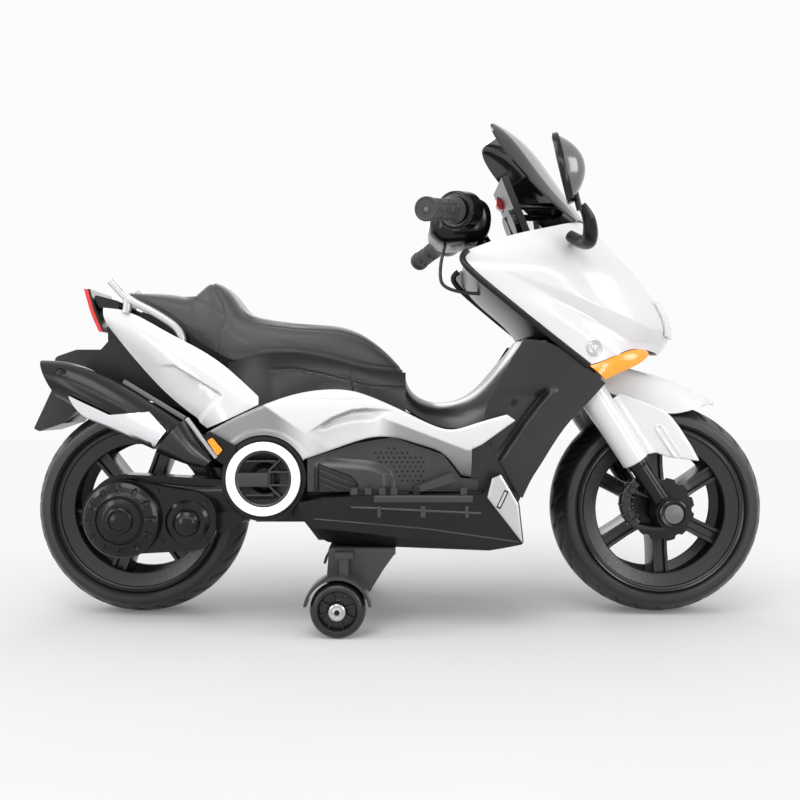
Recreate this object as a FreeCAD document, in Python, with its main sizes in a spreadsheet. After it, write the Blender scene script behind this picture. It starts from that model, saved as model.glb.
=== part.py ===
import FreeCAD
import Part
import math
import os
import re

from FreeCAD import Placement, Rotation, Vector

# Kids' electric ride-on motorbike in the style of a big scooter.
# Frame in millimetres: +X forward, +Y to the rider's left, +Z up, origin on the floor between the wheels.

SIZES = {
    "wheel_base": 760,
    "tyre_r": 155,
    "tyre_width": 96,
    "tyre_skin_share": 0.24,
    "rim_r": 121,
    "rim_width": 86,
    "rim_wall": 4,
    "rim_lip_r": 94,
    "rim_lip": 7,
    "hub_r": 30,
    "rear_hub_width": 92,
    "brake_room": 16,
    "spoke_width": 22,
    "spoke_depth": 52,
    "axle_r": 6,
    "run_gap": 0.3,
    "fit_gap": 0.25,
    "wall": 3,
    "rake": 33,
    "fork_track": 164,
    "fork_leg_r": 13,
    "fork_hub_r": 23,
    "fork_hub_width": 40,
    "fork_cover_r": 19,
    "fork_cover_from": 84,
    "fork_cover_to": 220,
    "yoke_at": 224,
    "yoke_height": 26,
    "yoke_depth": 50,
    "yoke_end": 8,
    "cowl_stand": 15,
    "stem_r": 12,
    "head_from": 258,
    "head_length": 140,
    "head_tube_r": 20,
    "bar_at": 512,
    "bar_r": 9,
    "bar_width": 450,
    "bar_sweep": 74,
    "bar_rise": 12,
    "bar_elbow": 62,
    "clamp_r": 17,
    "clamp_width": 40,
    "pod_r": 27,
    "pod_length": 54,
    "grip_r": 13,
    "grip_end_r": 15.6,
    "disc_r": 46,
    "disc_thick": 3,
    "tub_width": 140,
    "tub_floor": 114,
    "tub_top": 285,
    "tub_rear": -205,
    "tub_front": 132,
    "tub_wall": 4,
    "gear_module": 2,
    "gear_teeth": 45,
    "pinion_teeth": 17,
    "gear_width": 8,
    "motor_r": 18,
    "motor_length": 38,
    "motor_flange_r": 25,
    "case_inner": 58,
    "case_depth": 37,
    "cover_depth": 23,
    "big_cap_r": 52,
    "small_cap_r": 24,
    "cap_height": 12,
    "board_width": 70,
    "board_outer": 142,
    "ring_r": 50.8,
    "ring_inner_r": 39.3,
    "ring_thick": 9,
    "ring_out": 124,
    "stab_r": 37,
    "stab_width": 32,
    "stab_out": 165,
    "stab_x": -82,
    "stab_axle_r": 5,
    "side_stand": 21,
    "arm_wheel_gap": 10,
    "arm_thick": 16,
    "flange_sink": 2,
    "screw_r": 2,
    "screw_head_r": 4,
    "mirror_pin_r": 4,
}
SIZES["front_hub_width"] = SIZES["fork_track"] - SIZES["fork_hub_width"] - 2 * SIZES["brake_room"]

doc = FreeCAD.newDocument("kids_motorbike")
sheet = doc.addObject("Spreadsheet::Sheet", "Sizes")
for line, (alias, number) in enumerate(SIZES.items(), 1):
    sheet.set("A%d" % line, alias)
    sheet.set("B%d" % line, str(number))
    sheet.setAlias("B%d" % line, alias)
doc.recompute()


def size(alias):
    """The number in the sheet under this name."""
    return float(sheet.get(alias))


def bind(obj, **formulas):
    """Ties properties of an object to formulas written with the names of the sheet."""
    for prop, formula in formulas.items():
        named = re.sub(r"[a-z][a-z_]*", lambda word: "Sizes." + word.group(0), formula)
        obj.setExpression(prop, named)
    return obj


front_x = size("wheel_base") / 2
rear_x = -front_x
axle_z = size("tyre_r")
gap = size("fit_gap")
wall = size("wall")
UP = Vector(0, 0, 1)
LEFT = Vector(0, 1, 0)
RIGHT = Vector(0, -1, 0)
AHEAD = Vector(1, 0, 0)
STEER = Placement(Vector(front_x, 0, axle_z), Rotation(LEFT, -size("rake")))
STEER_UP = STEER.Rotation.multVec(UP)

nodes = []


def keep(label, obj):
    """Marks an object as a finished sub-part."""
    obj.Label = label
    nodes.append(obj)
    return obj


def solid(name, shape):
    """A finished shape as an object of its own."""
    obj = doc.addObject("Part::Feature", name)
    obj.Shape = shape
    return obj


def cylinder(name, radius, length, start, direction):
    """A cylinder from a start point along a direction, its sizes bound to the sheet."""
    obj = bind(doc.addObject("Part::Cylinder", name), Radius=radius, Height=length)
    obj.Placement = Placement(start, Rotation(UP, direction))
    return obj


def block(name, low, high):
    """A box between two corners."""
    obj = doc.addObject("Part::Box", name)
    obj.Length, obj.Width, obj.Height = (high[i] - low[i] for i in range(3))
    obj.Placement = Placement(Vector(*low), Rotation())
    return obj


def fuse(name, parts):
    obj = doc.addObject("Part::MultiFuse", name)
    obj.Shapes = parts
    return obj


def cut(name, base, tools):
    obj = doc.addObject("Part::Cut", name)
    obj.Base = base
    obj.Tool = tools[0] if len(tools) == 1 else fuse(name + "_tools", tools)
    return obj


def tube(name, outer, inner, length, start, direction):
    """A straight tube."""
    body = cylinder(name + "_outer", outer, length, start, direction)
    return cut(name, body, [cylinder(name + "_bore", inner, length, start, direction)])


def group(name, parts):
    obj = doc.addObject("Part::Compound", name)
    obj.Links = parts
    return obj


def mirrored(obj):
    """The same piece on the other side of the mid-plane."""
    twin = doc.addObject("Part::Mirroring", obj.Name + "_left")
    twin.Source = obj
    twin.Normal = LEFT
    return twin


def pair(label, parts):
    """A sub-part made of right-hand pieces and their mirror twins."""
    return keep(label, group(label, parts + [mirrored(part) for part in parts]))


def shifted(points, x_shift):
    """Outline points measured from another X origin."""
    return [(point[0] + x_shift, *point[1:]) for point in points]


def outline(points):
    """Lines through the points, with an arc at each corner that gives a radius as its third number."""
    corners = []
    for index, point in enumerate(points):
        here = Vector(point[0], point[1], 0)
        radius = point[2] if len(point) > 2 else 0
        if radius == 0:
            corners.append((here, here, None))
            continue
        before = Vector(*points[index - 1][:2], 0) - here
        after = Vector(*points[(index + 1) % len(points)][:2], 0) - here
        before.normalize()
        after.normalize()
        half = before.getAngle(after) / 2
        inward = before + after
        inward.normalize()
        start = here + before * (radius / math.tan(half))
        end = here + after * (radius / math.tan(half))
        middle = here + inward * (radius / math.sin(half) - radius)
        corners.append((start, end, Part.Arc(start, middle, end)))
    edges = []
    for index, (start, end, arc) in enumerate(corners):
        if arc:
            edges.append(arc)
        following = corners[(index + 1) % len(corners)][0]
        if (following - end).Length > 1e-6:
            edges.append(Part.LineSegment(end, following))
    return edges


def sketched(name, plane, edges):
    """A new body with a sketch of these edges on one of its own planes."""
    body = doc.addObject("PartDesign::Body", name)
    sketch = body.newObject("Sketcher::SketchObject", name + "_sketch")
    support = [item for item in body.Origin.OriginFeatures if item.Role == plane]
    sketch.AttachmentSupport = [(support[0], "")]
    sketch.MapMode = "FlatFace"
    sketch.addGeometry(edges)
    return body, sketch


def plate(name, points, depth, y_inner):
    """An outline in X and Z, padded by a bound depth from y_inner towards the right side."""
    body, sketch = sketched(name, "XZ_Plane", outline(points))
    pad = bind(body.newObject("PartDesign::Pad", name + "_pad"), Length=depth)
    pad.Profile = sketch
    body.Placement = Placement(Vector(0, y_inner, 0), Rotation())
    return body


def turned(name, points, centre, direction):
    """A profile of (axial, radial) points turned about an axis through the centre."""
    body, sketch = sketched(name, "XY_Plane", outline(points))
    turn = body.newObject("PartDesign::Revolution", name + "_turn")
    turn.Profile = sketch
    turn.ReferenceAxis = (sketch, ["H_Axis"])
    turn.Angle = 360
    body.Placement = Placement(centre, Rotation(AHEAD, direction))
    return body


def prism(points, y_from, y_to):
    """A plain prism of an outline in X and Z."""
    edges = [edge.toShape() for edge in outline(points)]
    face = Part.Face(Part.Wire(Part.__sortEdges__(edges)))
    face.Placement = Placement(Vector(0, y_from, 0), Rotation(AHEAD, 90))
    return face.extrude(Vector(0, y_to - y_from, 0))


def surface(rows):
    """A smooth surface through a grid of points."""
    sheet_form = Part.BSplineSurface()
    sheet_form.interpolate(rows)
    return sheet_form


def border(form):
    """The four edge curves of a surface."""
    u_low, u_high, v_low, v_high = form.bounds()
    curves = [form.uIso(u_low), form.uIso(u_high), form.vIso(v_low), form.vIso(v_high)]
    return [curve.toShape() for curve in curves]


def normals(rows, inside):
    """Unit normals of a grid that point towards an inner point, kept in the mid-plane where Y is zero."""
    found = []
    last_row, last_column = len(rows) - 1, len(rows[0]) - 1
    for i, row in enumerate(rows):
        line = []
        for j, point in enumerate(row):
            along = rows[min(i + 1, last_row)][j] - rows[max(i - 1, 0)][j]
            across = row[min(j + 1, last_column)] - row[max(j - 1, 0)]
            normal = along.cross(across)
            if abs(point.y) < 0.6:
                normal.y = 0
            normal.normalize()
            line.append(normal if normal.dot(inside - point) > 0 else normal * -1)
        found.append(line)
    return found


def between(outer, inner):
    """The closed solid between two grids of points."""
    faces = [surface(outer), surface(inner)]
    sides = [Part.makeRuledSurface(a, b) for a, b in zip(border(faces[0]), border(faces[1]))]
    shell = Part.makeShell([face.toShape() for face in faces] + sides)
    shell.sewShape()
    body = Part.Solid(shell)
    if body.Volume < 0:
        body.reverse()
    return body


def grid(rows, x_shift):
    return [[Vector(x + x_shift, y, z) for x, y, z in row] for row in rows]


def moved(rows, inside, distance):
    """A grid pushed along its normals towards the inner point."""
    lines = normals(rows, inside)
    return [[p + n * distance for p, n in zip(row, line)] for row, line in zip(rows, lines)]


def panel(rows, inside, thickness):
    """A curved shell of even thickness behind a grid of points."""
    return between(rows, moved(rows, inside, thickness))


def whole(rows):
    """Rows given from the right edge to the mid-plane, completed with their mirror half."""
    return [row + [Vector(p.x, -p.y, p.z) for p in reversed(row[:-1])] for row in rows]


def reach(shape, start, direction):
    """Distance from a point along a direction to the first surface of a shape."""
    ray = Part.makeLine(start, start + direction * 600)
    hits = shape.common(ray).Vertexes
    return min((vertex.Point - start).Length for vertex in hits)


def clear_reach(shape, start, direction, radius):
    """How far a round post can go before any side of its end comes within one fit gap of a surface."""
    turn = Rotation(UP, direction)
    runs = [reach(shape, start, direction)]
    for step in range(12):
        angle = math.radians(30 * step)
        side = turn.multVec(Vector(radius * math.cos(angle), radius * math.sin(angle), 0))
        runs.append(reach(shape, start + side, direction))
    return min(runs) - gap


def boss(shape, start, direction, radius):
    """A round post that ends one fit gap short of the surface it carries."""
    return Part.makeCylinder(radius, clear_reach(shape, start, direction, radius), start, direction)


# Wheels


def wheel(side, x, phase):
    """Tyre and six-spoke rim about an axle at x."""
    centre = Vector(x, 0, axle_z)
    half = size("tyre_width") / 2
    bore = size("rim_r") + gap
    deep = size("tyre_r") - bore
    skin = deep * size("tyre_skin_share")
    inside = [(half * 0.1, bore + deep - skin), (half * 0.36, bore + deep * 0.92 - skin),
              (half - 9 - skin, bore + deep * 0.56), (half - skin, bore + deep * 0.34),
              (half - skin - 3, bore + deep * 0.14), (half - 18, bore)]
    flank = [(half - 8, bore), (half - 1, bore + deep * 0.12, deep * 0.08),
             (half, bore + deep * 0.36, deep * 0.2),
             (half - 9, bore + deep * 0.62, deep * 0.3), (half * 0.42, bore + deep * 0.92, deep * 0.4),
             (half * 0.1, bore + deep)]
    section = inside + flank
    twin = [(-point[0], *point[1:]) for point in reversed(section)]
    keep(side + "_tyre", turned(side + "_tyre", section + twin, centre, LEFT))
    edge = centre - LEFT * (size("rim_width") / 2)
    far = centre + LEFT * (size("rim_width") / 2 - size("rim_lip"))
    parts = [
        tube(side + "_barrel", "rim_r", "rim_r - rim_wall", "rim_width", edge, LEFT),
        tube(side + "_lip_right", "rim_r", "rim_lip_r", "rim_lip", edge, LEFT),
        tube(side + "_lip_left", "rim_r", "rim_lip_r", "rim_lip", far, LEFT),
    ]
    hub_width = side + "_hub_width"
    hub_start = centre - LEFT * (size(hub_width) / 2)
    parts.append(tube(side + "_hub", "hub_r", "axle_r + run_gap", hub_width, hub_start, LEFT))
    for index in range(6):
        spoke = doc.addObject("Part::Box", side + "_spoke")
        bind(spoke, Length="rim_r - rim_wall / 2 - hub_r + 4", Width="spoke_depth", Height="spoke_width")
        corner = Vector(size("hub_r") - 4, -size("spoke_depth") / 2, -size("spoke_width") / 2)
        spin = Placement(centre, Rotation(RIGHT, phase + 60 * index))
        spoke.Placement = spin.multiply(Placement(corner, Rotation()))
        parts.append(spoke)
    keep(side + "_rim", fuse(side + "_rim", parts))


wheel("front", front_x, 33)
wheel("rear", rear_x, 9)

hub_side = -size("front_hub_width") / 2
disc_at = Vector(front_x, hub_side - gap, axle_z)
disc = tube("disc_ring", "disc_r", "axle_r + 6", "disc_thick", disc_at, RIGHT)
scallops = []
for index in range(12):
    turn = math.radians(30 * index)
    at = disc_at + Vector(math.cos(turn), 0, math.sin(turn)) * (size("disc_r") + 2)
    scallops.append(cylinder("disc_scallop", "disc_thick * 2", "disc_thick", at, RIGHT))
keep("brake_disc", cut("brake_disc", disc, scallops))

axle_half = size("fork_track") / 2 + size("fork_hub_width") / 2 + 1
front_axle = cylinder("front_axle", "axle_r", "fork_track + fork_hub_width + 2",
                      Vector(front_x, -axle_half, axle_z), LEFT)
keep("front_axle", front_axle)

# Steering group, modelled about the raked steering axis


def steered(x, y, z):
    """A point given along the raked axis: forward of it, to the left, and up from the axle."""
    return STEER.multVec(Vector(x, y, z))


leg_y = -size("fork_track") / 2
hub_at = Vector(front_x, leg_y + size("fork_hub_width") / 2, axle_z)
leg = cylinder("leg_tube", "fork_leg_r", "yoke_at + yoke_height", steered(0, leg_y, 0), STEER_UP)
leg_hub = cylinder("leg_hub", "fork_hub_r", "fork_hub_width", hub_at, RIGHT)
leg_bore = cylinder("leg_bore", "axle_r + fit_gap", "fork_hub_width", hub_at, RIGHT)
leg_whole = cut("fork_leg", fuse("leg_solid", [leg, leg_hub]), [leg_bore])
pair("fork_legs", [leg_whole])

cap_at = Vector(front_x, leg_y - size("fork_hub_width") / 2 - 1 - gap, axle_z)
cap = cylinder("hub_cap", "fork_hub_r - 4", "wall * 1.5", cap_at, RIGHT)
pair("hub_caps", [cap])

FENDER = [
    [(-48, -61, 312), (-42, -42, 352), (-40, 0, 361)],
    [(-8, -61, 297), (0, -44, 338), (2, 0, 350)],
    [(26, -59, 296), (44, -42, 322), (46, 0, 332)],
    [(56, -48, 303), (68, -34, 314), (72, 0, 321)],
    [(83, -22, 308), (86, -14, 310), (88, 0, 311)],
]
fender = panel(whole(grid(FENDER, front_x)), Vector(front_x, 0, axle_z), wall)
keep("front_fender", solid("front_fender", fender))

BLADE = [(-100, 328), (-63, 328, 8), (-5, 306, 10), (15, 278, 14), (43, 228, 5), (-2, 233, 8),
         (-21, 241, 6), (-52, 241)]
blade = plate("cover_blade", shifted(BLADE, front_x), "wall * 1.4", leg_y + 6)
sleeve = cylinder("cover_sleeve", "fork_cover_r", "fork_cover_to - fork_cover_from",
                  steered(0, leg_y, size("fork_cover_from")), STEER_UP)
sleeve_bore = cylinder("cover_bore", "fork_leg_r + fit_gap", "fork_cover_to",
                       steered(0, leg_y, size("fork_cover_from") - 30), STEER_UP)
tab = solid("cover_tab", boss(fender, Vector(front_x - 35, leg_y + 4, 315), LEFT, 4))
cover = cut("fork_cover", fuse("cover_solid", [sleeve, blade, tab]), [sleeve_bore])
pair("fork_covers", [cover])

yoke = doc.addObject("Part::Box", "yoke_bar")
bind(yoke, Length="yoke_depth", Width="fork_track + (fork_leg_r + yoke_end) * 2", Height="yoke_height")
yoke_corner = Vector(-size("yoke_depth") / 2, leg_y - size("fork_leg_r") - size("yoke_end"), size("yoke_at"))
yoke.Placement = STEER.multiply(Placement(yoke_corner, Rotation()))
stem = cylinder("stem_tube", "stem_r", "bar_at - yoke_at - 4", steered(0, 0, size("yoke_at") + 2), STEER_UP)
clamp_y = size("clamp_width") / 2
clamp = cylinder("bar_clamp", "clamp_r", "clamp_width", steered(0, clamp_y, size("bar_at")), RIGHT)
clamp_bore = cylinder("bar_clamp_bore", "bar_r + fit_gap", "clamp_width",
                      steered(0, clamp_y, size("bar_at")), RIGHT)
leg_holes = [cylinder("yoke_hole", "fork_leg_r + fit_gap", "yoke_height + 2",
                      steered(0, side * leg_y, size("yoke_at") - 1), STEER_UP) for side in (1, -1)]
keep("steering_stem", cut("steering_stem", fuse("stem_solid", [yoke, stem, clamp]),
                          leg_holes + [clamp_bore]))

elbow = steered(0, -size("bar_elbow"), size("bar_at"))
tip = steered(-size("bar_sweep"), -size("bar_width") / 2, size("bar_at") + size("bar_rise"))
arm = tip - elbow
arm_length = arm.Length
arm.normalize()


def swept(points, radius, bend):
    """A round bar along straight runs joined by tangent arcs."""
    edges = []
    start = points[0]
    for index in range(1, len(points) - 1):
        here = points[index]
        before = points[index - 1] - here
        after = points[index + 1] - here
        before.normalize()
        after.normalize()
        half = before.getAngle(after) / 2
        inward = before + after
        inward.normalize()
        enter = here + before * (bend / math.tan(half))
        leave = here + after * (bend / math.tan(half))
        middle = here + inward * (bend / math.sin(half) - bend)
        edges.append(Part.makeLine(start, enter))
        edges.append(Part.Arc(enter, middle, leave).toShape())
        start = leave
    edges.append(Part.makeLine(start, points[-1]))
    spine = Part.Wire(edges)
    first = points[1] - points[0]
    ring = Part.Wire([Part.makeCircle(radius, points[0], first)])
    return spine.makePipeShell([ring], True, True)


def left_of(point):
    return Vector(point.x, -point.y, point.z)


bar_path = [tip, elbow, left_of(elbow), left_of(tip)]
keep("handlebar", solid("handlebar", swept(bar_path, size("bar_r"), 40)))

grip_from = 22 + size("pod_length")
grip_length = arm_length - grip_from
grip_r = size("grip_r")
grip_rings = 7
grip_flange = 8
ring_pitch = (grip_length - 2 * grip_flange) / grip_rings
GRIP = [(0, size("bar_r") + gap), (0, grip_r + 4), (5, grip_r + 4), (6, grip_r)]
for index in range(grip_rings):
    ring_at = grip_flange + 1 + ring_pitch * index
    GRIP += [(ring_at, grip_r), (ring_at + 1, grip_r + 1)]
    GRIP += [(ring_at + ring_pitch / 2, grip_r + 1), (ring_at + ring_pitch / 2 + 1, grip_r)]
GRIP += [(grip_length - grip_flange, grip_r), (grip_length - grip_flange + 1, size("grip_end_r"))]
GRIP += [(grip_length + 1, size("grip_end_r")), (grip_length + 1, size("bar_r") + gap)]
grip = turned("grip", GRIP, elbow + arm * grip_from, arm)
pair("grips", [grip])

HOUSING = [(-336, 540, 12), (-250, 548, 14), (-246, 586, 16), (-262, 612, 14), (-318, 608, 18),
           (-338, 572, 12)]
housing_half = size("bar_elbow") - 2
housing = prism(shifted(HOUSING, front_x), -housing_half, housing_half)
hollow = prism(shifted([(-332, 545), (-255, 553), (-251, 585), (-265, 607), (-316, 603), (-333, 571)],
                       front_x),
               -housing_half + 3, housing_half - 3)
stem_room = Part.makeCylinder(size("stem_r") + 2, 80, steered(0, 0, size("bar_at") - 70), STEER_UP)
bar_room = swept(bar_path, size("bar_r") + gap, 40)
housing = housing.cut(hollow).cut(stem_room).cut(bar_room)
pod = Part.makeCylinder(size("pod_r"), size("pod_length"), elbow + arm * 20, arm)
pod = pod.makeFillet(9, [edge for edge in pod.Edges if edge.Length > 100]).cut(bar_room)
switch_pod = solid("switch_pod", pod)
keep("handlebar_cover", group("handlebar_cover", [solid("bar_housing", housing), switch_pod,
                                                  mirrored(switch_pod)]))

CALIPER_ARM = [(-84, 186, 4), (-20, 174, 10), (20, 172, 14), (20, 138, 14), (-20, 136, 10), (-84, 124, 4),
               (-84, 134, 4), (-34, 144, 8), (-34, 166, 8), (-84, 176, 4)]
hub_inner = leg_y + size("fork_hub_width") / 2 + gap
caliper_arm = plate("caliper_arm", shifted(CALIPER_ARM, front_x), "wall * 2", hub_inner + 2 * wall)
caliper_bore = cylinder("caliper_bore", "axle_r + fit_gap", "wall * 4",
                        Vector(front_x, hub_inner + 3 * wall, axle_z), RIGHT)
caliper_body = block("caliper_body", (front_x - 82, hub_inner, 132), (front_x - 42, hub_side + 2, 178))
slot_low = hub_side - size("disc_thick") - 3 * gap
slot = block("caliper_slot", (front_x - 60, slot_low, 120), (front_x - 30, hub_side + gap, 192))
keep("brake_caliper", cut("brake_caliper", fuse("caliper_solid", [caliper_arm, caliper_body]),
                          [caliper_bore, slot]))

# Front bodywork, X measured from the front axle


def widened(rows, half):
    """Rows of points whose Y is given in hundredths of a half width."""
    return [[(x, y * half / 100, z) for x, y, z in row] for row in rows]


yoke_half = size("fork_track") / 2 + size("fork_leg_r") + size("yoke_end")
cowl_half = yoke_half + size("cowl_stand")
COWL = [
    [(-284, -92, 522), (-230, -85, 542), (-175, -75, 556), (-135, -59, 566), (-105, -32, 566),
     (-82, -0.4, 550)],
    [(-290, -95, 505), (-230, -96, 510), (-165, -93, 512), (-100, -72, 515), (-55, -38, 510),
     (-28, -0.4, 497)],
    [(-250, -98, 467), (-190, -100, 470), (-130, -95, 470), (-70, -75, 466), (-18, -41, 458),
     (10, -0.4, 448)],
    [(-190, -100, 418), (-140, -99, 422), (-90, -92, 424), (-45, -73, 422), (0, -38, 416), (24, -0.4, 410)],
    [(-118, -97, 362), (-90, -93, 372), (-62, -83, 383), (-32, -64, 386), (-8, -36, 382), (6, -0.4, 380)],
]
cowl_core = Vector(front_x - 180, 0, 450)
cowl_grid = grid(widened(COWL, cowl_half), front_x)
cowl = panel(cowl_grid, cowl_core, wall)
pair("front_cowls", [solid("front_cowl", cowl)])


def inlay(rows, inside, u_span, v_span, thickness):
    """A lens lying on part of a curved panel, one fit gap proud of it."""
    form = surface(rows)
    u_low, u_high, v_low, v_high = form.bounds()
    patch = []
    for i in range(4):
        u = u_low + (u_high - u_low) * (u_span[0] + (u_span[1] - u_span[0]) * i / 3)
        steps = [v_span[0] + (v_span[1] - v_span[0]) * j / 3 for j in range(4)]
        patch.append([form.value(u, v_low + (v_high - v_low) * step) for step in steps])
    return between(moved(patch, inside, -gap - thickness), moved(patch, inside, -gap))


headlight = inlay(cowl_grid, cowl_core, (0.5, 0.8), (0.84, 0.98), wall)
pair("headlights", [solid("headlight", headlight)])

lens_top = [p - Vector(0, 0, 1.4) for p in cowl_grid[-1][:4]]
LENS_LOW = [(-96, -94, 342), (-74, -89, 352), (-50, -81, 362), (-26, -62, 377)]
lens_low = grid(widened([LENS_LOW], cowl_half), front_x)[0]
lens_middle = [(a + b) * 0.5 + Vector(1, -2, 0) for a, b in zip(lens_top, lens_low)]
turn_lens = panel([lens_top, lens_middle, lens_low], cowl_core, wall)

WINDSHIELD = [
    [(-130, -74, 569), (-112, -42, 571), (-100, 0, 568)],
    [(-174, -77, 606), (-142, -44, 608), (-127, 0, 606)],
    [(-212, -78, 646), (-174, -45, 650), (-158, 0, 650)],
    [(-242, -76, 686), (-206, -45, 690), (-190, 0, 688)],
    [(-248, -70, 708), (-238, -40, 714), (-230, 0, 715)],
]
windshield = panel(whole(grid(WINDSHIELD, front_x)), Vector(front_x - 260, 0, 600), wall)
keep("windshield", solid("windshield", windshield))

DASH = [
    [(-266, -94, 511), (-274, -50, 511), (-276, 0, 512)],
    [(-232, -92, 527), (-231, -50, 528), (-230, 0, 528)],
    [(-178, -81, 543), (-176, -45, 545), (-174, 0, 545)],
    [(-140, -60, 552), (-130, -34, 552), (-118, 0, 546)],
]
dash_plate = panel(whole(grid(DASH, front_x)), Vector(front_x - 200, 0, 300), wall)
TILT = Placement(Vector(front_x - 196, 0, 539), Rotation(LEFT, -22))
ROCKER_AT = Vector(4, 32, 80)


def on_dash(shape, x, y, z):
    """A shape set at a place measured on the leaning instrument panel."""
    shape.Placement = TILT.multiply(Placement(Vector(x, y, z), Rotation())).multiply(shape.Placement)
    return shape


dash = dash_plate.fuse(on_dash(Part.makeBox(10, 112, 102), 0, -56, 0))
for y in (-27, 27):
    gauge = Part.makeCylinder(21, 8, Vector(0, 0, 0), AHEAD)
    dash = dash.fuse(on_dash(gauge, -6, y, 38))
    post_start = TILT.multVec(Vector(6, y * 1.6, 58))
    dash = dash.fuse(boss(windshield, post_start, AHEAD, 5))
rocker_room = on_dash(Part.makeBox(12, 15, 25), -1, ROCKER_AT.y - 7.5, ROCKER_AT.z - 12.5)
rocker_pin = Part.makeCylinder(2 + gap, 24, Vector(0, -12, 0), LEFT)
dash = dash.cut(rocker_room).cut(on_dash(rocker_pin, *ROCKER_AT))
dash = dash.cut(Part.makeCylinder(size("stem_r") + 4, 120, steered(0, 0, 380), STEER_UP))
keep("dashboard", solid("dashboard", dash))

rocker = Part.makeCylinder(11, 14, Vector(0, -7, 0), LEFT)
rocker = rocker.fuse(Part.makeCylinder(2, 22, Vector(0, -11, 0), LEFT))
keep("power_switch", solid("power_switch", on_dash(rocker, *ROCKER_AT)))

MIRROR_LEAN = 13.5
MIRROR = Placement(Vector(front_x - 167, -172, 618), Rotation(LEFT, -MIRROR_LEAN))
pin_x = 10
pin_up = MIRROR.Rotation.multVec(UP)
base_start = Vector(front_x - 128, -260, 540)
base_y = -260 + reach(cowl, base_start, LEFT)
cowl_form = surface(cowl_grid)
base_out = cowl_form.normal(*cowl_form.parameter(Vector(base_start.x, base_y, base_start.z)))
base_out = base_out if base_out.y < 0 else base_out * -1
base_at = Vector(base_start.x, base_y, base_start.z) + base_out * 2 * gap
collar_top = MIRROR.multVec(Vector(pin_x, 0, -47.5))
stem_points = [base_at + base_out * 3, Vector(base_at.x + 2, -158, 546), collar_top - pin_up * 5]
mirror_stem = swept(stem_points, 6, 14)
mirror_stem = mirror_stem.fuse(Part.makeCylinder(14, 7, base_at, base_out))
mirror_stem = mirror_stem.fuse(Part.makeCylinder(7, 8, collar_top - pin_up * 8, pin_up))
mirror_stem = mirror_stem.fuse(Part.makeCylinder(size("mirror_pin_r"), 19, collar_top, pin_up))
pair("mirror_stems", [solid("mirror_stem", mirror_stem)])

egg = Part.makeSphere(1)
stretch = FreeCAD.Matrix()
stretch.scale(30, 36, 46)
egg = egg.transformGeometry(stretch)
head = egg.common(Part.makeBox(40, 80, 100, Vector(0, -40, -50)))
pin_hole = Part.makeCylinder(size("mirror_pin_r") + size("run_gap"), 40, Vector(pin_x, 0, -66), UP)
head = head.cut(pin_hole)
head.Placement = MIRROR
mirror_right = solid("mirror_head", head)
keep("mirror_head_right", mirror_right)
keep("mirror_head_left", mirrored(mirror_right))

LEG_SHIELD = [
    [(-279, -103, 518), (-282, -60, 522), (-283, 0, 524)],
    [(-276, -104, 490), (-279, -60, 491), (-280, 0, 491)],
    [(-237, -105, 455), (-250, -60, 455), (-254, 0, 455)],
    [(-200, -106, 425), (-216, -60, 425), (-221, 0, 425)],
    [(-172, -106, 402), (-198, -60, 402), (-204, 0, 402)],
]
leg_shield = panel(whole(grid(LEG_SHIELD, front_x)), Vector(front_x - 60, 0, 470), wall)
keep("leg_shield", solid("leg_shield", leg_shield))

TUNNEL_FRONT = [
    [(-176, -102, 396), (-200, -70, 398), (-209, 0, 399)],
    [(-212, -102, 345), (-227, -74, 366), (-230, 0, 370)],
]
TUNNEL = [
    [(132, -102, 300), (120, -76, 328), (118, 0, 333)],
    [(96, -102, 277), (90, -76, 308), (88, 0, 314)],
    [(60, -102, 276), (58, -76, 303), (58, 0, 309)],
    [(30, -102, 288), (30, -76, 310), (30, 0, 316)],
    [(8, -100, 303), (8, -74, 338), (8, 0, 344)],
]
tunnel = panel(whole(grid(TUNNEL_FRONT, front_x) + grid(TUNNEL, 0)), Vector(120, 0, 150), wall)
keep("tunnel_cover", solid("tunnel_cover", tunnel))

LOWER_COWL = [
    [(-208, -4, 398), (-164, -9, 388), (-96, -8, 337)],
    [(-230, -4, 362), (-180, -7, 343), (-124, -7, 306)],
    [(-252, -5, 322), (-200, -7, 303), (-150, -7, 278)],
    [(-262, -6, 285), (-215, -8, 262), (-175, -9, 242)],
    [(-254, -7, 252), (-222, -9, 238), (-186, -9, 224)],
    [(-238, -8, 222), (-218, -9, 214), (-198, -9, 205)],
    [(-222, -8, 187), (-217, -9, 183), (-211, -9, 178)],
]
lower_grid = [[p + RIGHT * yoke_half for p in row] for row in grid(LOWER_COWL, front_x)]
lower_cowl = panel(lower_grid, Vector(front_x - 190, 0, 310), wall)
pair("lower_cowls", [solid("lower_cowl", lower_cowl)])

tub_front = size("tub_front")
tub_in = tub_front - size("tub_wall") - gap
NECK = [(95, 165), (tub_in, 165), (tub_in, size("tub_top") + 4), (150, 300)]
NECK += shifted([(-174, 353), (-146, 372), (-212, 476), (-224, 470), (-192, 396), (-216, 365)], front_x)
NECK += [(134, 322), (100, 285)]
neck = prism(NECK, -30, 30)
neck = neck.fuse(Part.makeCylinder(size("head_tube_r"), size("head_length"),
                                   steered(0, 0, size("head_from")),
                                   STEER_UP))
neck = neck.cut(Part.makeCylinder(size("stem_r") + size("run_gap"), 400, steered(0, 0, 200), STEER_UP))
for side in (1, -1):
    outward = Vector(0, -side, 0)
    cowl_side = cowl if side == 1 else cowl.mirror(Vector(), LEFT)
    lower_side = lower_cowl if side == 1 else lower_cowl.mirror(Vector(), LEFT)
    neck = neck.fuse(boss(cowl_side, Vector(front_x - 180, -17 * side, 425), outward, 5))
    neck = neck.fuse(boss(lower_side, Vector(158, -26 * side, 310), outward, 5))
    neck = neck.fuse(boss(dash, Vector(front_x - 216, -26 * side, 468), UP, 4))
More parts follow.
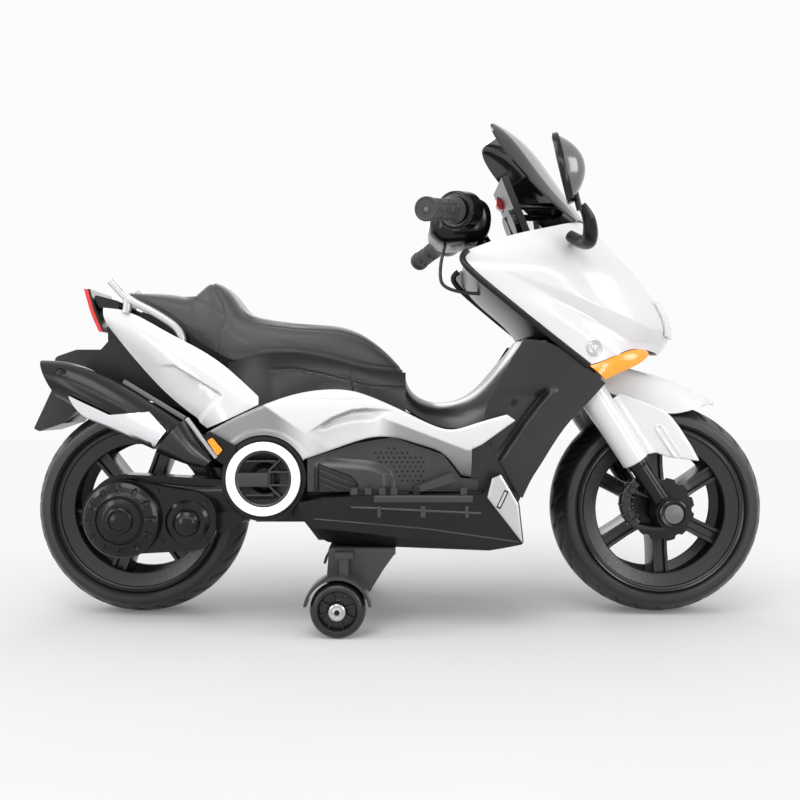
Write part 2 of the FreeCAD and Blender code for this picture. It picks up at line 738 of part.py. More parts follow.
neck = neck.fuse(boss(leg_shield, Vector(front_x - 203, 0, 438), AHEAD * -1, 5))
neck = neck.fuse(boss(tunnel, Vector(112, 0, 290), UP, 5))
keep("steering_head", solid("steering_head", neck))

cable_end = Vector(40, -42, 468)
cable_end.x += clear_reach(leg_shield, cable_end, AHEAD, 2.5)
CABLE = [Vector(66, -30, 540), Vector(56, -34, 505), Vector(64, -40, 470), cable_end]
keep("control_cable", solid("control_cable", swept(CABLE, 2.5, 9)))

# Middle of the body

side_out = -(yoke_half + size("side_stand"))


def crowned(points, z_middle):
    """A slab under an outline whose outer face falls away from the middle."""
    rows = []
    for i in range(5):
        x = -290 + 115 * i
        line = []
        for j in range(5):
            z = 190 + 37 * j
            fall = 9 * ((z - z_middle) / 65) ** 2 + 5 * ((x + 50) / 220) ** 2
            line.append(Vector(x, side_out + fall, z))
        rows.append(line)
    inner = [[p + Vector(0, wall, 0) for p in row] for row in rows]
    return between(rows, inner).common(prism(points, -140, -90))


RING_AT = Vector(-188, 0, 205)
ring_room = Part.makeCylinder(size("ring_r") + 6, 80, RING_AT + RIGHT * 80, RIGHT)
SIDE = [(-268, 270, 4), (-182, 309, 60), (-106, 328, 80), (-34, 316, 80), (69, 273, 40), (147, 294, 6),
        (158, 285, 3), (112, 252, 10), (95, 244, 3), (99, 206, 3), (85, 209, 6), (60, 240, 30),
        (-10, 264, 50), (-60, 256, 40), (-132, 232, 10), (-150, 205), (-230, 215), (-254, 231, 3)]
side_panel = crowned(SIDE, 265).cut(ring_room)
pair("side_panels", [solid("side_panel", side_panel)])

REFLECTOR = [(-264, 258, 2), (-257, 262, 2), (-243, 245, 2), (-250, 237, 2)]
reflector_y = -200 + reach(side_panel, Vector(-253, -200, 250), LEFT)
reflector = solid("reflector", prism(REFLECTOR, reflector_y - 1, reflector_y - 4))
pair("amber_lenses", [solid("turn_lens", turn_lens), reflector])

VENT = [(-128, 187), (-128, 232, 4), (-60, 254, 20), (-10, 262, 30), (60, 238, 20), (84, 206, 4),
        (108, 203), (108, 187)]
SCOOP = [(-120, 189), (-120, 228, 12), (-40, 226, 20), (-16, 216, 14), (-8, 189)]
vent_in = -(yoke_half + wall)
vent = prism(VENT, vent_in, vent_in - 4)
vent = vent.fuse(prism(SCOOP, vent_in - 1, vent_in - 13))
holes = []
for i in range(8):
    for j in range(5):
        holes.append(Part.makeCylinder(2, 10, Vector(-26 + 8 * i + 4 * (j % 2), vent_in + 4,
                                                     207 + 9 * j), RIGHT))
for i in range(7):
    holes.append(Part.makeBox(4, 6, 20, Vector(-110 + 11 * i, vent_in - 14, 198)))
vent = vent.cut(Part.makeCompound(holes))
pair("side_vents", [solid("side_vent", vent)])

ring_back = size("ring_out") - size("ring_thick")
ring = tube("ring_light", "ring_r", "ring_inner_r", "ring_thick", RING_AT + RIGHT * ring_back, RIGHT)
pair("ring_lights", [ring])

cup_front = ring_back - gap
cup = Part.makeCylinder(size("ring_r") + 3, cup_front - 98, RING_AT + RIGHT * 98, RIGHT)
cup = cup.cut(Part.makeCylinder(size("ring_inner_r") - 1, 9, RING_AT + RIGHT * (cup_front - 9), RIGHT))
for index in range(7):
    half = math.sqrt((size("ring_inner_r")) ** 2 - (9 * (index - 3)) ** 2)
    bar = Part.makeBox(2 * half - 1, 8, 4, RING_AT + Vector(-half + 0.5, -cup_front + 0.5,
                                                            9 * (index - 3) - 2))
    cup = cup.fuse(bar)
cup = cup.fuse(Part.makeCylinder(9, 8, RING_AT + RIGHT * (cup_front - 8.5), RIGHT))
pair("ring_grilles", [solid("ring_grille", cup)])

board_in = -size("tub_width") / 2 - gap
BOARD = [(-139, 174, 3), (-105, 181, 20), (-36, 185, 40), (112, 186, 6), (137, 215, 4), (161, 174, 12),
         (167, 119, 5), (120, 110, 10), (-7, 114, 60), (-100, 120, 12), (-127, 153, 8)]
board = prism(BOARD, board_in, -size("board_outer"))
BOARD_ROOM = [(-130, 172), (-105, 177), (-36, 181), (114, 182), (136, 208), (157, 173), (162, 123),
              (120, 114), (-7, 118), (-98, 124), (-123, 155)]
board = board.cut(prism(BOARD_ROOM, board_in + 1, -112))
bevel = Part.makePolygon([Vector(-160, -116, 104), Vector(-160, -150, 104), Vector(-160, -150, 155),
                          Vector(-160, -143, 148), Vector(-160, -116, 104)])
board = board.cut(Part.Face(bevel).extrude(Vector(340, 0, -38)))
for x_low, x_high in ((-68, -30), (-26, 12), (84, 110)):
    for y_low in (-137, -125):
        board = board.fuse(Part.makeBox(x_high - x_low, 10, 7, Vector(x_low, y_low, 182)))
hinge_at = Vector(22, 0, 192)
for y_low in (-141, -117):
    lug = Part.makeBox(8, 3, 14, Vector(hinge_at.x - 4, y_low, 181))
    lug = lug.cut(Part.makeCylinder(2 + gap, 6, Vector(hinge_at.x, y_low + 4, hinge_at.z), RIGHT))
    board = board.fuse(lug)
pair("footboards", [solid("footboard", board)])

pedal = prism([(20, 195), (70, 215, 2), (76, 203, 2), (26, 188.5)], -118, -136.5)
pedal = pedal.fuse(Part.makeCylinder(4, 18.5, hinge_at + RIGHT * 118, RIGHT))
pedal = pedal.fuse(Part.makeCylinder(2, 23, hinge_at + RIGHT * 115.5, RIGHT))
keep("throttle_pedal", solid("throttle_pedal", pedal))

tip_y = -size("board_outer") - gap
SILL = [(124, 208, 2), (136, 213, 3), (159, 174, 10), (165, 122, 2), (117, 181, 2)]
pair("sill_tips", [plate("sill_tip", SILL, "wall * 1.4", tip_y)])

# Seat

SEAT = [(-402, 42, 462, 471), (-365, 54, 446, 469), (-328, 56, 424, 466), (-300, 58, 404, 467),
        (-273, 68, 388, 485), (-247, 78, 374, 468), (-224, 84, 370, 441), (-189, 88, 376, 429),
        (-150, 88, 377, 424), (-107, 84, 370, 421), (-70, 76, 360, 415), (-40, 66, 354, 399),
        (-14, 50, 352, 377), (3, 34, 351, 358)]
seat_sections = []
for x, half, low, high in SEAT:
    shoulder = high - 0.28 * (high - low)
    corners = [Vector(x, -half + 3, low), Vector(x, half - 3, low), Vector(x, half - 6, shoulder),
               Vector(x, -half + 6, shoulder)]
    bulge = Vector(x, half, (low + shoulder) / 2)
    edges = [Part.LineSegment(corners[0], corners[1]), Part.Arc(corners[1], bulge, corners[2]),
             Part.Arc(corners[2], Vector(x, 0, high), corners[3]),
             Part.Arc(corners[3], left_of(bulge), corners[0])]
    seat_sections.append(Part.Wire([edge.toShape() for edge in edges]))
seat = Part.makeLoft(seat_sections, True, False)
keep("seat_cushion", solid("seat_cushion", seat))

PAN = [(-176, 300), (-176, 373), (-150, 374), (-107, 367), (-70, 357), (-42, 351), (5, 346), (5, 300)]
PAN_ROOM = [(-173, 290), (-173, 370), (-150, 371), (-108, 364), (-71, 354), (-42, 348), (2, 343), (2, 290)]
pan = prism(PAN, -97, 97).cut(prism(PAN_ROOM, -94, 94))
REAR_PAN = [(-238, 325), (-238, 364), (-222, 366), (-174, 372), (-174, 310)]
REAR_PAN_ROOM = [(-240, 320), (-240, 360), (-222, 362), (-172, 368), (-172, 305)]
pan = pan.fuse(prism(REAR_PAN, -86, 86).cut(prism(REAR_PAN_ROOM, -83, 83)))
for x in (-150, -60):
    pan = pan.fuse(boss(seat, Vector(x, 0, 350 if x == -60 else 371), UP, 8))
keep("seat_pan", solid("seat_pan", pan))

# Tail, X measured from the rear axle where it follows the rear wheel

TAIL = [
    [(-46, -60, 446), (-5, -68, 438), (55, -79, 407), (130, -90, 364), (190, -97, 311)],
    [(-44, -64, 432), (8, -78, 406), (65, -90, 372), (125, -99, 330), (152, -103, 292)],
    [(-33, -60, 412), (0, -68, 374), (35, -76, 337), (75, -85, 300), (110, -92, 274)],
]
tail = panel(grid(TAIL, rear_x), Vector(rear_x + 70, 0, 360), wall)
pair("tail_panels", [solid("tail_panel", tail)])

RAIL = [(-37, 486, 3), (-29, 486, 3), (-15, 469, 8), (49, 431, 30), (74, 407, 8), (74, 392), (65, 392),
        (62, 404, 8), (42, 421, 14), (-14, 452, 2), (-12, 446), (-20, 449), (-24, 457, 3), (-36, 477, 6)]
pair("grab_rails", [plate("grab_rail", shifted(RAIL, rear_x), "wall * 4.5", -61)])

TAIL_LIGHT = [(-77, 474, 3), (-70, 474, 2), (-61, 446, 20), (-47, 419, 2), (-55, 411, 3), (-69, 440, 30)]
tail_light = prism(shifted(TAIL_LIGHT, rear_x), -52, 52)
keep("tail_light", solid("tail_light", tail_light))
TAIL_COVER = [(-66, 467, 3), (-28, 457, 3), (-28, 447, 2), (-56, 447, 2)]
tail_cover = prism(shifted(TAIL_COVER, rear_x), -46, 46)
keep("tail_cover", solid("tail_cover", tail_cover))

frame_end = 387
MUDGUARD = [(-24, frame_end - gap), (-90, frame_end - gap, 8), (-121, 376, 8), (-126, 328, 10),
            (-152, 272, 2), (-144, 268, 2), (-108, 280, 4), (-60, 328), (-60, 352), (-24, 352)]
MUDGUARD_ROOM = [(-28, frame_end - wall), (-88, frame_end - wall), (-117, 373), (-122, 329), (-138, 288),
                 (-110, 284), (-60, 334), (-56, 328), (-20, 348)]
mudguard = prism(shifted(MUDGUARD, rear_x), -44, 44).cut(prism(shifted(MUDGUARD_ROOM, rear_x), -41, 41))
keep("rear_mudguard", solid("rear_mudguard", mudguard))

FRAME = [(-206, 236), (-206, 312), (-236, 352)]
FRAME += shifted([(126, 366), (80, 394), (18, 428), (-20, 434), (-44, 434), (-44, frame_end),
                  (-20, frame_end)], rear_x)
FRAME += shifted([(-20, 316), (40, 312), (80, 295), (112, 269), (140, 232)], rear_x)
room_end = frame_end - 20
FRAME_ROOM = [(-212, 230), (-212, 304), (-240, 344)]
FRAME_ROOM += shifted([(126, 358), (80, 386), (18, 420), (-20, 426), (-39, 426), (-39, room_end),
                       (-16, room_end)], rear_x)
FRAME_ROOM += shifted([(-16, 304), (40, 300), (80, 283), (112, 257), (140, 220)], rear_x)
tail_frame = prism(FRAME, -45, 45).cut(prism(FRAME_ROOM, -41, 41))
cross = Part.makeBox(14, 146, 24, Vector(rear_x + 61, -73, 392 - gap - 24))
tail_frame = tail_frame.fuse(cross)
for side in (1, -1):
    outward = Vector(0, -side, 0)
    tail_side = tail if side == 1 else tail.mirror(Vector(), LEFT)
    tail_frame = tail_frame.fuse(boss(tail_side, Vector(rear_x + 40, -43 * side, 385), outward, 5))
tail_frame = tail_frame.fuse(boss(tail_light, Vector(rear_x - 42, 0, 424), AHEAD * -1, 5))
tail_frame = tail_frame.fuse(boss(tail_cover, Vector(rear_x - 36, 0, 430), UP, 5))
tail_frame = tail_frame.fuse(boss(seat, Vector(rear_x + 78, 0, 362), UP, 8))
keep("tail_frame", solid("tail_frame", tail_frame))

# Exhaust

MUFFLER = [(-110, 348, 30, 26), (-60, 326, 36, 30), (-5, 298, 38, 31), (45, 271, 35, 29), (82, 246, 27, 22),
           (112, 223, 11, 10)]
muffler_y = -119
cross_up = Vector(0.5, 0, 0.866)


def muffler_form(grow):
    """Oval sections along the muffler, enlarged evenly."""
    wires = []
    for x, z, tall, wide in MUFFLER:
        middle = Vector(rear_x + x, muffler_y, z)
        oval = Part.Ellipse(middle + cross_up * (tall + grow), middle + RIGHT * (wide + grow), middle)
        wires.append(Part.Wire([oval.toShape()]))
    return Part.makeLoft(wires, True, False)


muffler = muffler_form(0)
tub_rear = size("tub_rear")
PIPE = [Vector(rear_x + 100, -118, 232), Vector(rear_x + 146, -62, 222), Vector(tub_rear - gap, -62, 222)]
muffler = muffler.fuse(swept(PIPE, 8, 10))
keep("exhaust_muffler", solid("exhaust_muffler", muffler))
SHIELD = [(-62, 319, 3), (-6, 294, 6), (44, 297, 5), (67, 273, 4), (47, 247, 4), (-32, 284, 20),
          (-51, 293, 5)]
shield_form = muffler_form(4).cut(muffler_form(gap))
shield = shield_form.common(prism(shifted(SHIELD, rear_x), muffler_y - 5, muffler_y - 60))
keep("exhaust_shield", solid("exhaust_shield", shield))

# Rear drive

gear_module = size("gear_module")
pinion_x = rear_x + gear_module * (size("gear_teeth") + size("pinion_teeth")) / 2
case_in = -size("case_inner")
case_out = case_in - size("case_depth")
cover_in = case_out - gap
cover_out = cover_in - size("cover_depth")
gear_in = -67


def gear_outline(teeth, thinning):
    """Involute teeth as straight runs: four points up each flank."""
    pitch = gear_module * teeth / 2
    base = pitch * math.cos(math.radians(20))
    root = pitch - 1.3 * gear_module
    tip_r = pitch + 0.95 * gear_module
    at_pitch = math.tan(math.radians(20)) - math.radians(20)
    flank = [(root, None)]
    for step in range(4):
        radius = max(base, root) + (tip_r - max(base, root)) * step / 3
        angle = math.acos(min(1, base / radius))
        flank.append((radius, math.pi / (2 * teeth) * thinning + at_pitch - (math.tan(angle) - angle)))
    flank[0] = (root, flank[1][1])
    points = []
    for tooth in range(teeth):
        centre = 2 * math.pi * tooth / teeth
        for radius, half in flank:
            points.append((radius * math.cos(centre - half), radius * math.sin(centre - half)))
        for radius, half in reversed(flank):
            points.append((radius * math.cos(centre + half), radius * math.sin(centre + half)))
    return points


def gear(teeth, x):
    form = prism(gear_outline(int(teeth), 0.86), gear_in, gear_in - size("gear_width"))
    form.translate(Vector(x, 0, axle_z))
    return form


hub_end = -size("rear_hub_width") / 2 - gap
drive_gear = gear(size("gear_teeth"), rear_x)
drive_gear = drive_gear.fuse(Part.makeCylinder(20, hub_end - gear_in, Vector(rear_x, hub_end, axle_z),
                                               RIGHT))
drive_gear = drive_gear.cut(Part.makeCylinder(size("axle_r") + size("run_gap"), 120,
                                              Vector(rear_x, 0, axle_z), RIGHT))
keep("drive_gear", solid("drive_gear", drive_gear))

pinion_at = Vector(pinion_x, gear_in - size("gear_width") + 1, axle_z)
pinion = gear(size("pinion_teeth"), pinion_x).fuse(Part.makeCylinder(3, 12, pinion_at, RIGHT))
keep("motor_pinion", solid("motor_pinion", pinion))

motor_at = Vector(pinion_x, gear_in - size("gear_width") - 2, axle_z)
can = cylinder("motor_can", "motor_r", "motor_length", motor_at, RIGHT)
flange = cylinder("motor_flange", "motor_flange_r", "wall", Vector(pinion_x, cover_in, axle_z), RIGHT)
shaft_room = cylinder("motor_bore", "wall + run_gap", "motor_length * 0.3", motor_at, RIGHT)
keep("drive_motor", cut("drive_motor", fuse("motor_solid", [can, flange]), [shaft_room]))

CASE = [(-57, 97, 52), (-57, 212, 52), (70, 206, 20), (160, 200, 6), (160, 141, 6), (90, 112, 30)]
COVER = [(-57, 98, 50), (-57, 212, 50), (127, 183, 34), (127, 108, 34)]
COVER_ROOM = [(-53, 102, 46), (-53, 207, 46), (123, 179, 30), (123, 112, 30)]
LUG = [(100, 196), (228, 196, 6), (228, 146, 6), (100, 146)]
SCREWS = [(45, 189), (52, 118), (112, 172), (112, 121)]
screw_bore = size("screw_r") + gap
screw_length = size("cover_depth") + 6
case = prism(shifted(CASE, rear_x), case_in, case_out)
case = case.fuse(prism(shifted(LUG, rear_x), board_in, -84))
case = case.cut(Part.makeCylinder(48.5, 60, Vector(rear_x, case_in - wall, axle_z), RIGHT))
case = case.cut(Part.makeCylinder(20.5, 60, Vector(pinion_x, case_in - wall, axle_z), RIGHT))
case = case.cut(Part.makeCylinder(22, 20, Vector(rear_x, case_in + 5, axle_z), RIGHT))
drive_cover = prism(shifted(COVER, rear_x), cover_in, cover_out)
drive_cover = drive_cover.cut(prism(shifted(COVER_ROOM, rear_x), cover_in + 1, cover_out + wall))
cap_at = Vector(rear_x, cover_out + 1, 150)
big_cap = Part.makeCylinder(size("big_cap_r"), size("cap_height") + 1, cap_at, RIGHT)
big_cap = big_cap.makeFillet(5, [edge for edge in big_cap.Edges if edge.CenterOfMass.y < cover_out - 5])
small_at = Vector(rear_x + 88, cover_out + 1, 146)
small_cap = Part.makeCylinder(size("small_cap_r"), 5, small_at, RIGHT)
dome = Part.makeSphere(20, small_at + LEFT * 3)
dome = dome.common(Part.makeCylinder(30, 30, small_at, RIGHT))
axle_boss = Part.makeCylinder(12, size("cover_depth") - 4, Vector(rear_x, cover_in - 3, axle_z), RIGHT)
drive_cover = drive_cover.fuse(big_cap).fuse(small_cap).fuse(dome).fuse(axle_boss)
axle_end = cover_in - 16
drive_cover = drive_cover.cut(Part.makeCylinder(size("axle_r") + gap, 17,
                                                Vector(rear_x, cover_in, axle_z), RIGHT))
screws = []
for x, z in SCREWS:
    hole = Part.makeCylinder(screw_bore, 60, Vector(rear_x + x, cover_out - 10, z), LEFT)
    hole = hole.common(Part.makeBox(400, 60, 400, Vector(rear_x - 100, cover_out - 20, 0)))
    case = case.cut(Part.makeCylinder(screw_bore, 7, Vector(rear_x + x, case_out - 0.5, z), LEFT))
    drive_cover = drive_cover.cut(hole)
    shank = Part.makeCylinder(size("screw_r"), screw_length, Vector(rear_x + x, cover_out - 1, z), LEFT)
    top = Part.makeCylinder(size("screw_head_r"), 2, Vector(rear_x + x, cover_out - gap, z), RIGHT)
    screws.append(shank.fuse(top))
keep("drive_case", solid("drive_case", case))
keep("drive_cover", solid("drive_cover", drive_cover))

arm_in = size("tyre_width") / 2 + size("arm_wheel_gap")
arm_out = arm_in + size("arm_thick")
axle = Part.makeCylinder(size("axle_r"), arm_out + 3 - axle_end, Vector(rear_x, axle_end, axle_z), LEFT)
axle = axle.fuse(Part.makeCylinder(11, 7, Vector(rear_x, arm_out + gap, axle_z), LEFT))
keep("rear_axle", solid("rear_axle", axle))

# Chassis tub with the left rear arm

half_tub = size("tub_width") / 2
floor = size("tub_floor")
tub_wall = size("tub_wall")
tub_top = size("tub_top")
TUB = [(tub_rear, 140), (tub_rear, tub_top), (tub_front, tub_top), (tub_front, floor), (-116, floor),
       (-136, 140)]
TUB_ROOM = [(tub_rear + tub_wall, 140 + tub_wall), (tub_rear + tub_wall, tub_top + 9),
            (tub_front - tub_wall, tub_top + 9), (tub_front - tub_wall, floor + tub_wall),
            (-114, floor + tub_wall), (-134, 140 + tub_wall)]
tub = prism(TUB, -half_tub, half_tub).cut(prism(TUB_ROOM, -half_tub + tub_wall, half_tub - tub_wall))
ARM = [(-195, 146), (-195, 225, 6), (-262, 212, 40), (rear_x, 182, 20), (rear_x - 27, 155, 20),
       (rear_x, 128, 20), (-262, 128, 40)]
axle_bore = Part.makeCylinder(size("axle_r") + gap, arm_out, Vector(rear_x, arm_in / 2, axle_z), LEFT)
tub = tub.fuse(prism(ARM, arm_in, arm_out).cut(axle_bore))
flange_rear = size("stab_x") - 14
flange_length = 90
flange_in = -(half_tub - 14)
pocket = Part.makeBox(flange_length + 2, 20, size("flange_sink") + 5,
                      Vector(flange_rear - 1, flange_in - 19, floor - 5))
tub = tub.cut(pocket).cut(pocket.mirror(Vector(), LEFT))
root_in = half_tub - tub_wall
tub = tub.fuse(Part.makeBox(10, max(arm_out, half_tub) - root_in, 60, Vector(tub_rear, root_in, 150)))
for x in (-155, -25):
    tub = tub.fuse(Part.makeBox(10, 193, 300 - gap - 281, Vector(x, -96.5, 281)))
for side in (1, -1):
    outward = Vector(0, -side, 0)
    for form, x, z in ((vent, -70, 240), (vent, 60, 212), (side_panel, -120, 275), (side_panel, 25, 274),
                       (cup, -188, 228)):
        form_side = form if side == 1 else form.mirror(Vector(), LEFT)
        tub = tub.fuse(boss(form_side, Vector(x, -(half_tub - 2) * side, z), outward, 5))
tub = tub.removeSplitter()
keep("chassis_tub", solid("chassis_tub", tub))

floor_in = floor + tub_wall + gap
keep("battery", block("battery", (-112, -42, floor_in), (14, 42, floor_in + 94)))
keep("control_box", block("control_box", (24, -34, floor_in), (84, 34, floor_in + 36)))

# Stabiliser wheels

stab_x = size("stab_x")
stab_r = size("stab_r")
stab_y = -size("stab_out")
stab_half = size("stab_width") / 2
arm_face = stab_y + stab_half + 3
STAB_LEG = [(stab_x - 14, 108), (-6, 108), (-22, 86, 10), (stab_x + 22, 24, 16), (stab_x, 14, 14),
            (stab_x - 20, 28, 14)]
leg_plate = prism(STAB_LEG, arm_face + 16, arm_face)
hood_at = Vector(stab_x, arm_face + 3, stab_r)
hood = Part.makeCylinder(stab_r + 8, size("stab_width") + 8, hood_at, RIGHT)
hood = hood.cut(Part.makeCylinder(stab_r + 4, size("stab_width") + 20, hood_at + LEFT * 4, RIGHT))
hood = hood.common(Part.makeBox(140, 80, 80, Vector(stab_x - 70, stab_y - 40, stab_r + 6)))
flange_top = floor + size("flange_sink") - gap
top_flange = Part.makeBox(flange_length, flange_in - arm_face, 8,
                          Vector(flange_rear, arm_face, flange_top - 10))
tongue_low = -half_tub + gap
tongue = Part.makeBox(flange_length, flange_in - tongue_low, 10,
                      Vector(flange_rear, tongue_low, flange_top - 10))
brace = Part.makeBox(24, 40, 8, Vector(stab_x - 4, stab_y - 8, floor - gap - 9))
upright = Part.makeBox(12, 12, 28, Vector(stab_x + 2, stab_y - 6, stab_r + 42))
bracket = leg_plate.fuse(hood).fuse(top_flange).fuse(tongue).fuse(brace).fuse(upright)
bracket = bracket.cut(Part.makeCylinder(size("stab_axle_r") + gap, 60,
                                        Vector(stab_x, arm_face + 30, stab_r), RIGHT))
bracket_screws = []
for x in (stab_x, stab_x + 60):
    at = Vector(x, flange_in - 4, flange_top - 10)
    bracket = bracket.cut(Part.makeCylinder(screw_bore, 40, at - UP * 10, UP))
    head_at = at - UP * (gap + 2)
    screw = Part.makeCylinder(size("screw_head_r"), 2, head_at, UP)
    bracket_screws.append(screw.fuse(Part.makeCylinder(size("screw_r"), 12 + gap, head_at, UP)))
pair("stabiliser_brackets", [solid("stabiliser_bracket", bracket)])

bolt = Part.makeCylinder(size("stab_axle_r"), 62, Vector(stab_x, arm_face + 20, stab_r), RIGHT)
bolt = bolt.fuse(Part.makeCylinder(10, 4, Vector(stab_x, arm_face + 16 + gap + 4, stab_r), RIGHT))
bolt_end = stab_y - stab_half - 1 - 2 * gap
bolt = bolt.fuse(Part.makeCylinder(9, 5, Vector(stab_x, bolt_end, stab_r), RIGHT))
pair("stabiliser_axles", [solid("stabiliser_axle", bolt)])

stab_bore = size("stab_axle_r") + size("run_gap")
STAB = [(stab_half + 1, stab_bore), (stab_half + 1, 11), (4, 12), (4, stab_r - 11), (stab_half, stab_r - 9),
        (stab_half, stab_r, 4)]
STAB += [(-x, *rest) for x, *rest in reversed(STAB)]
stab_wheel = turned("stab_wheel", STAB, Vector(stab_x, stab_y, stab_r), LEFT)
keep("stabiliser_wheel_right", stab_wheel)
keep("stabiliser_wheel_left", mirrored(stab_wheel))

screw_parts = [solid("cover_screw", screw) for screw in screws]
for screw in bracket_screws:
    right_screw = solid("bracket_screw", screw)
    screw_parts += [right_screw, mirrored(right_screw)]
keep("body_screws", group("body_screws", screw_parts))

# Check and write out

doc.recompute()
os.makedirs("parts", exist_ok=True)
for obj in doc.Objects:
    if "Invalid" in obj.State or "Error" in obj.State:
        raise RuntimeError("object failed: " + obj.Name)
for obj in nodes:
    shape = obj.Shape
    if shape.isNull() or not shape.isValid() or not shape.Solids:
        raise RuntimeError("bad shape: " + obj.Label)
    shape.exportStep("parts/%s.step" % obj.Label)
    print("%-24s solids %d  volume %.1f cm3" % (obj.Label, len(shape.Solids), shape.Volume / 1000))
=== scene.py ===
# %% [markdown]
# # A kids' electric ride-on motorbike
# The solids of the motorbike were made first and packed into one model. This script loads that model as a
# fixed frame and dresses it: smooth body panels, treaded tyres, a stitched seat and a finish for every
# piece.

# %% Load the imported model
import math

import bmesh
import bpy
import numpy as np
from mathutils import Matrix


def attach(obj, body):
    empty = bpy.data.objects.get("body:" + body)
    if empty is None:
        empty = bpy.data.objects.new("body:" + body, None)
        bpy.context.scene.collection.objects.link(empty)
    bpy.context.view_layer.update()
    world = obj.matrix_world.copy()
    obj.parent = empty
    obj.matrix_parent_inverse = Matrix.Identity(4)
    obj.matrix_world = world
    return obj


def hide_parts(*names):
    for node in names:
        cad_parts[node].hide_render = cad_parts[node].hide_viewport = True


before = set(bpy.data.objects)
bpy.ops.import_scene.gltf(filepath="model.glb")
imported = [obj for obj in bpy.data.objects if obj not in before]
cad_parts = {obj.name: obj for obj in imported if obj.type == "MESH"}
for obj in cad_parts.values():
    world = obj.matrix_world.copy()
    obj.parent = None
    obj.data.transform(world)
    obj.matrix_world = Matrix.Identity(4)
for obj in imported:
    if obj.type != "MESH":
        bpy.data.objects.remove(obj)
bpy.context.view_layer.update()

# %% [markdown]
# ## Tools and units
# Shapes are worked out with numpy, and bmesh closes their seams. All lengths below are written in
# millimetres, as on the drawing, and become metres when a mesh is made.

MM = 0.001
FRONT_X = 380
REAR_X = -380
AXLE_Z = 155
print("nodes in the frame:", len(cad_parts))

# %% [markdown]
# ## Camera
# The picture was taken from the right-hand side, level with the side panels, from about 1.4 m away. A
# 42 mm lens on a 36 mm sensor gives the same perspective: the far handlebar grip shows below and behind
# the near one.

# %% Camera
CAMERA_AT = (0, -1400, 313.5)
camera = bpy.data.objects.new("camera", bpy.data.cameras.new("camera"))
camera.data.lens = 42
camera.data.sensor_width = 36
camera.location = [c * MM for c in CAMERA_AT]
camera.rotation_euler = (math.pi / 2, 0, 0)
bpy.context.collection.objects.link(camera)
bpy.context.scene.camera = camera
bpy.context.scene.view_settings.view_transform = "Standard"
print("camera", CAMERA_AT, "lens", camera.data.lens)

# %% [markdown]
# ## Shader sums
# Writing `rough = 0.3 + 0.1 * noise` is easier to read than a page of Math nodes. The class below wraps a
# socket, and each sum on it adds one node to the same material. Any other node comes from the method
# `node`.


# %% Shader sums
class Value:
    """What comes out of a node. Sums on it add Math nodes to its material."""

    def __init__(self, finish, socket):
        self.finish = finish
        self.socket = socket

    def sum(self, operation, first, second):
        """One Math node on two values or numbers."""
        return self.finish.node("ShaderNodeMath", {"operation": operation}, {0: first, 1: second})

    def __add__(self, other):
        return self.sum("ADD", self, other)

    def __radd__(self, other):
        return self.sum("ADD", other, self)

    def __sub__(self, other):
        return self.sum("SUBTRACT", self, other)

    def __rsub__(self, other):
        return self.sum("SUBTRACT", other, self)

    def __mul__(self, other):
        return self.sum("MULTIPLY", self, other)

    def __rmul__(self, other):
        return self.sum("MULTIPLY", other, self)


SMOOTH = {"interpolation_type": "SMOOTHSTEP"}


class Nodes:
    """The nodes of a material or of the sky."""

    def __init__(self, tree):
        self.tree = tree

    def node(self, kind, settings, sockets, out=0):
        """Adds a node, sets it up, and joins or fills its sockets."""
        made = self.tree.nodes.new(kind)
        for key, setting in settings.items():
            setattr(made, key, setting)
        for key, value in sockets.items():
            self.join(value, made.inputs[key])
        return Value(self, made.outputs[out])

    def join(self, value, socket):
        """Links a value to a socket, or writes a number or colour into it."""
        if isinstance(value, Value):
            self.tree.links.new(value.socket, socket)
        else:
            socket.default_value = value

    def seen(self):
        """1 for rays from the camera, from a shiny surface or through glass, and 0 for the rest."""
        ray = self.node("ShaderNodeLightPath", {}, {}, "Is Camera Ray")
        outputs = ray.socket.node.outputs
        return ray + Value(self, outputs["Is Glossy Ray"]) + Value(self, outputs["Is Transmission Ray"])


class Finish(Nodes):
    """A material with one Principled shader. Even values go straight onto its sockets."""

    def __init__(self, name, even):
        self.material = bpy.data.materials.new(name)
        self.material.use_nodes = True
        super().__init__(self.material.node_tree)
        self.shader = self.tree.nodes["Principled BSDF"]
        for socket, number in even.items():
            self.shader.inputs[socket].default_value = number

    def feed(self, socket, value):
        """Joins a value to a socket of the shader."""
        self.join(value, self.shader.inputs[socket])

    def place(self):
        """Where a point lies on the object, in metres."""
        return self.node("ShaderNodeTexCoord", {}, {}, "Object")

    def noise(self, scale, detail=3, stretch=(1, 1, 1)):
        """Soft cloudy variation from 0 to 1, with features of about 1 / scale metres."""
        at = self.node("ShaderNodeMapping", {}, {"Vector": self.place(), "Scale": stretch})
        return self.node("ShaderNodeTexNoise", {}, {"Vector": at, "Scale": scale, "Detail": detail})

    def cells(self, scale, feature="F1"):
        """Distance to scattered points: round pebbles, or their borders."""
        sockets = {"Vector": self.place(), "Scale": scale}
        return self.node("ShaderNodeTexVoronoi", {"feature": feature}, sockets)

    def tint(self, low, high, share):
        """A colour between two colours; the lower one may be a value."""
        sockets = {0: share, 6: low if isinstance(low, Value) else (*low, 1), 7: (*high, 1)}
        return self.node("ShaderNodeMix", {"data_type": "RGBA"}, sockets, 2)

    def bump(self, height, strength, distance):
        """Relief for the light alone, from a height between 0 and 1."""
        sockets = {"Height": height, "Strength": strength, "Distance": distance}
        self.feed("Normal", self.node("ShaderNodeBump", {}, sockets))


print("ready for sums such as 1 - noise")

# %% [markdown]
# ## Moulded plastics
# Most of the motorbike is injection-moulded plastic. A moulding is never perfectly even: the colour drifts
# a little, the gloss is broken by flow marks, and the skin has a fine grain. One function gives all three,
# and each plastic sets how strong they are.


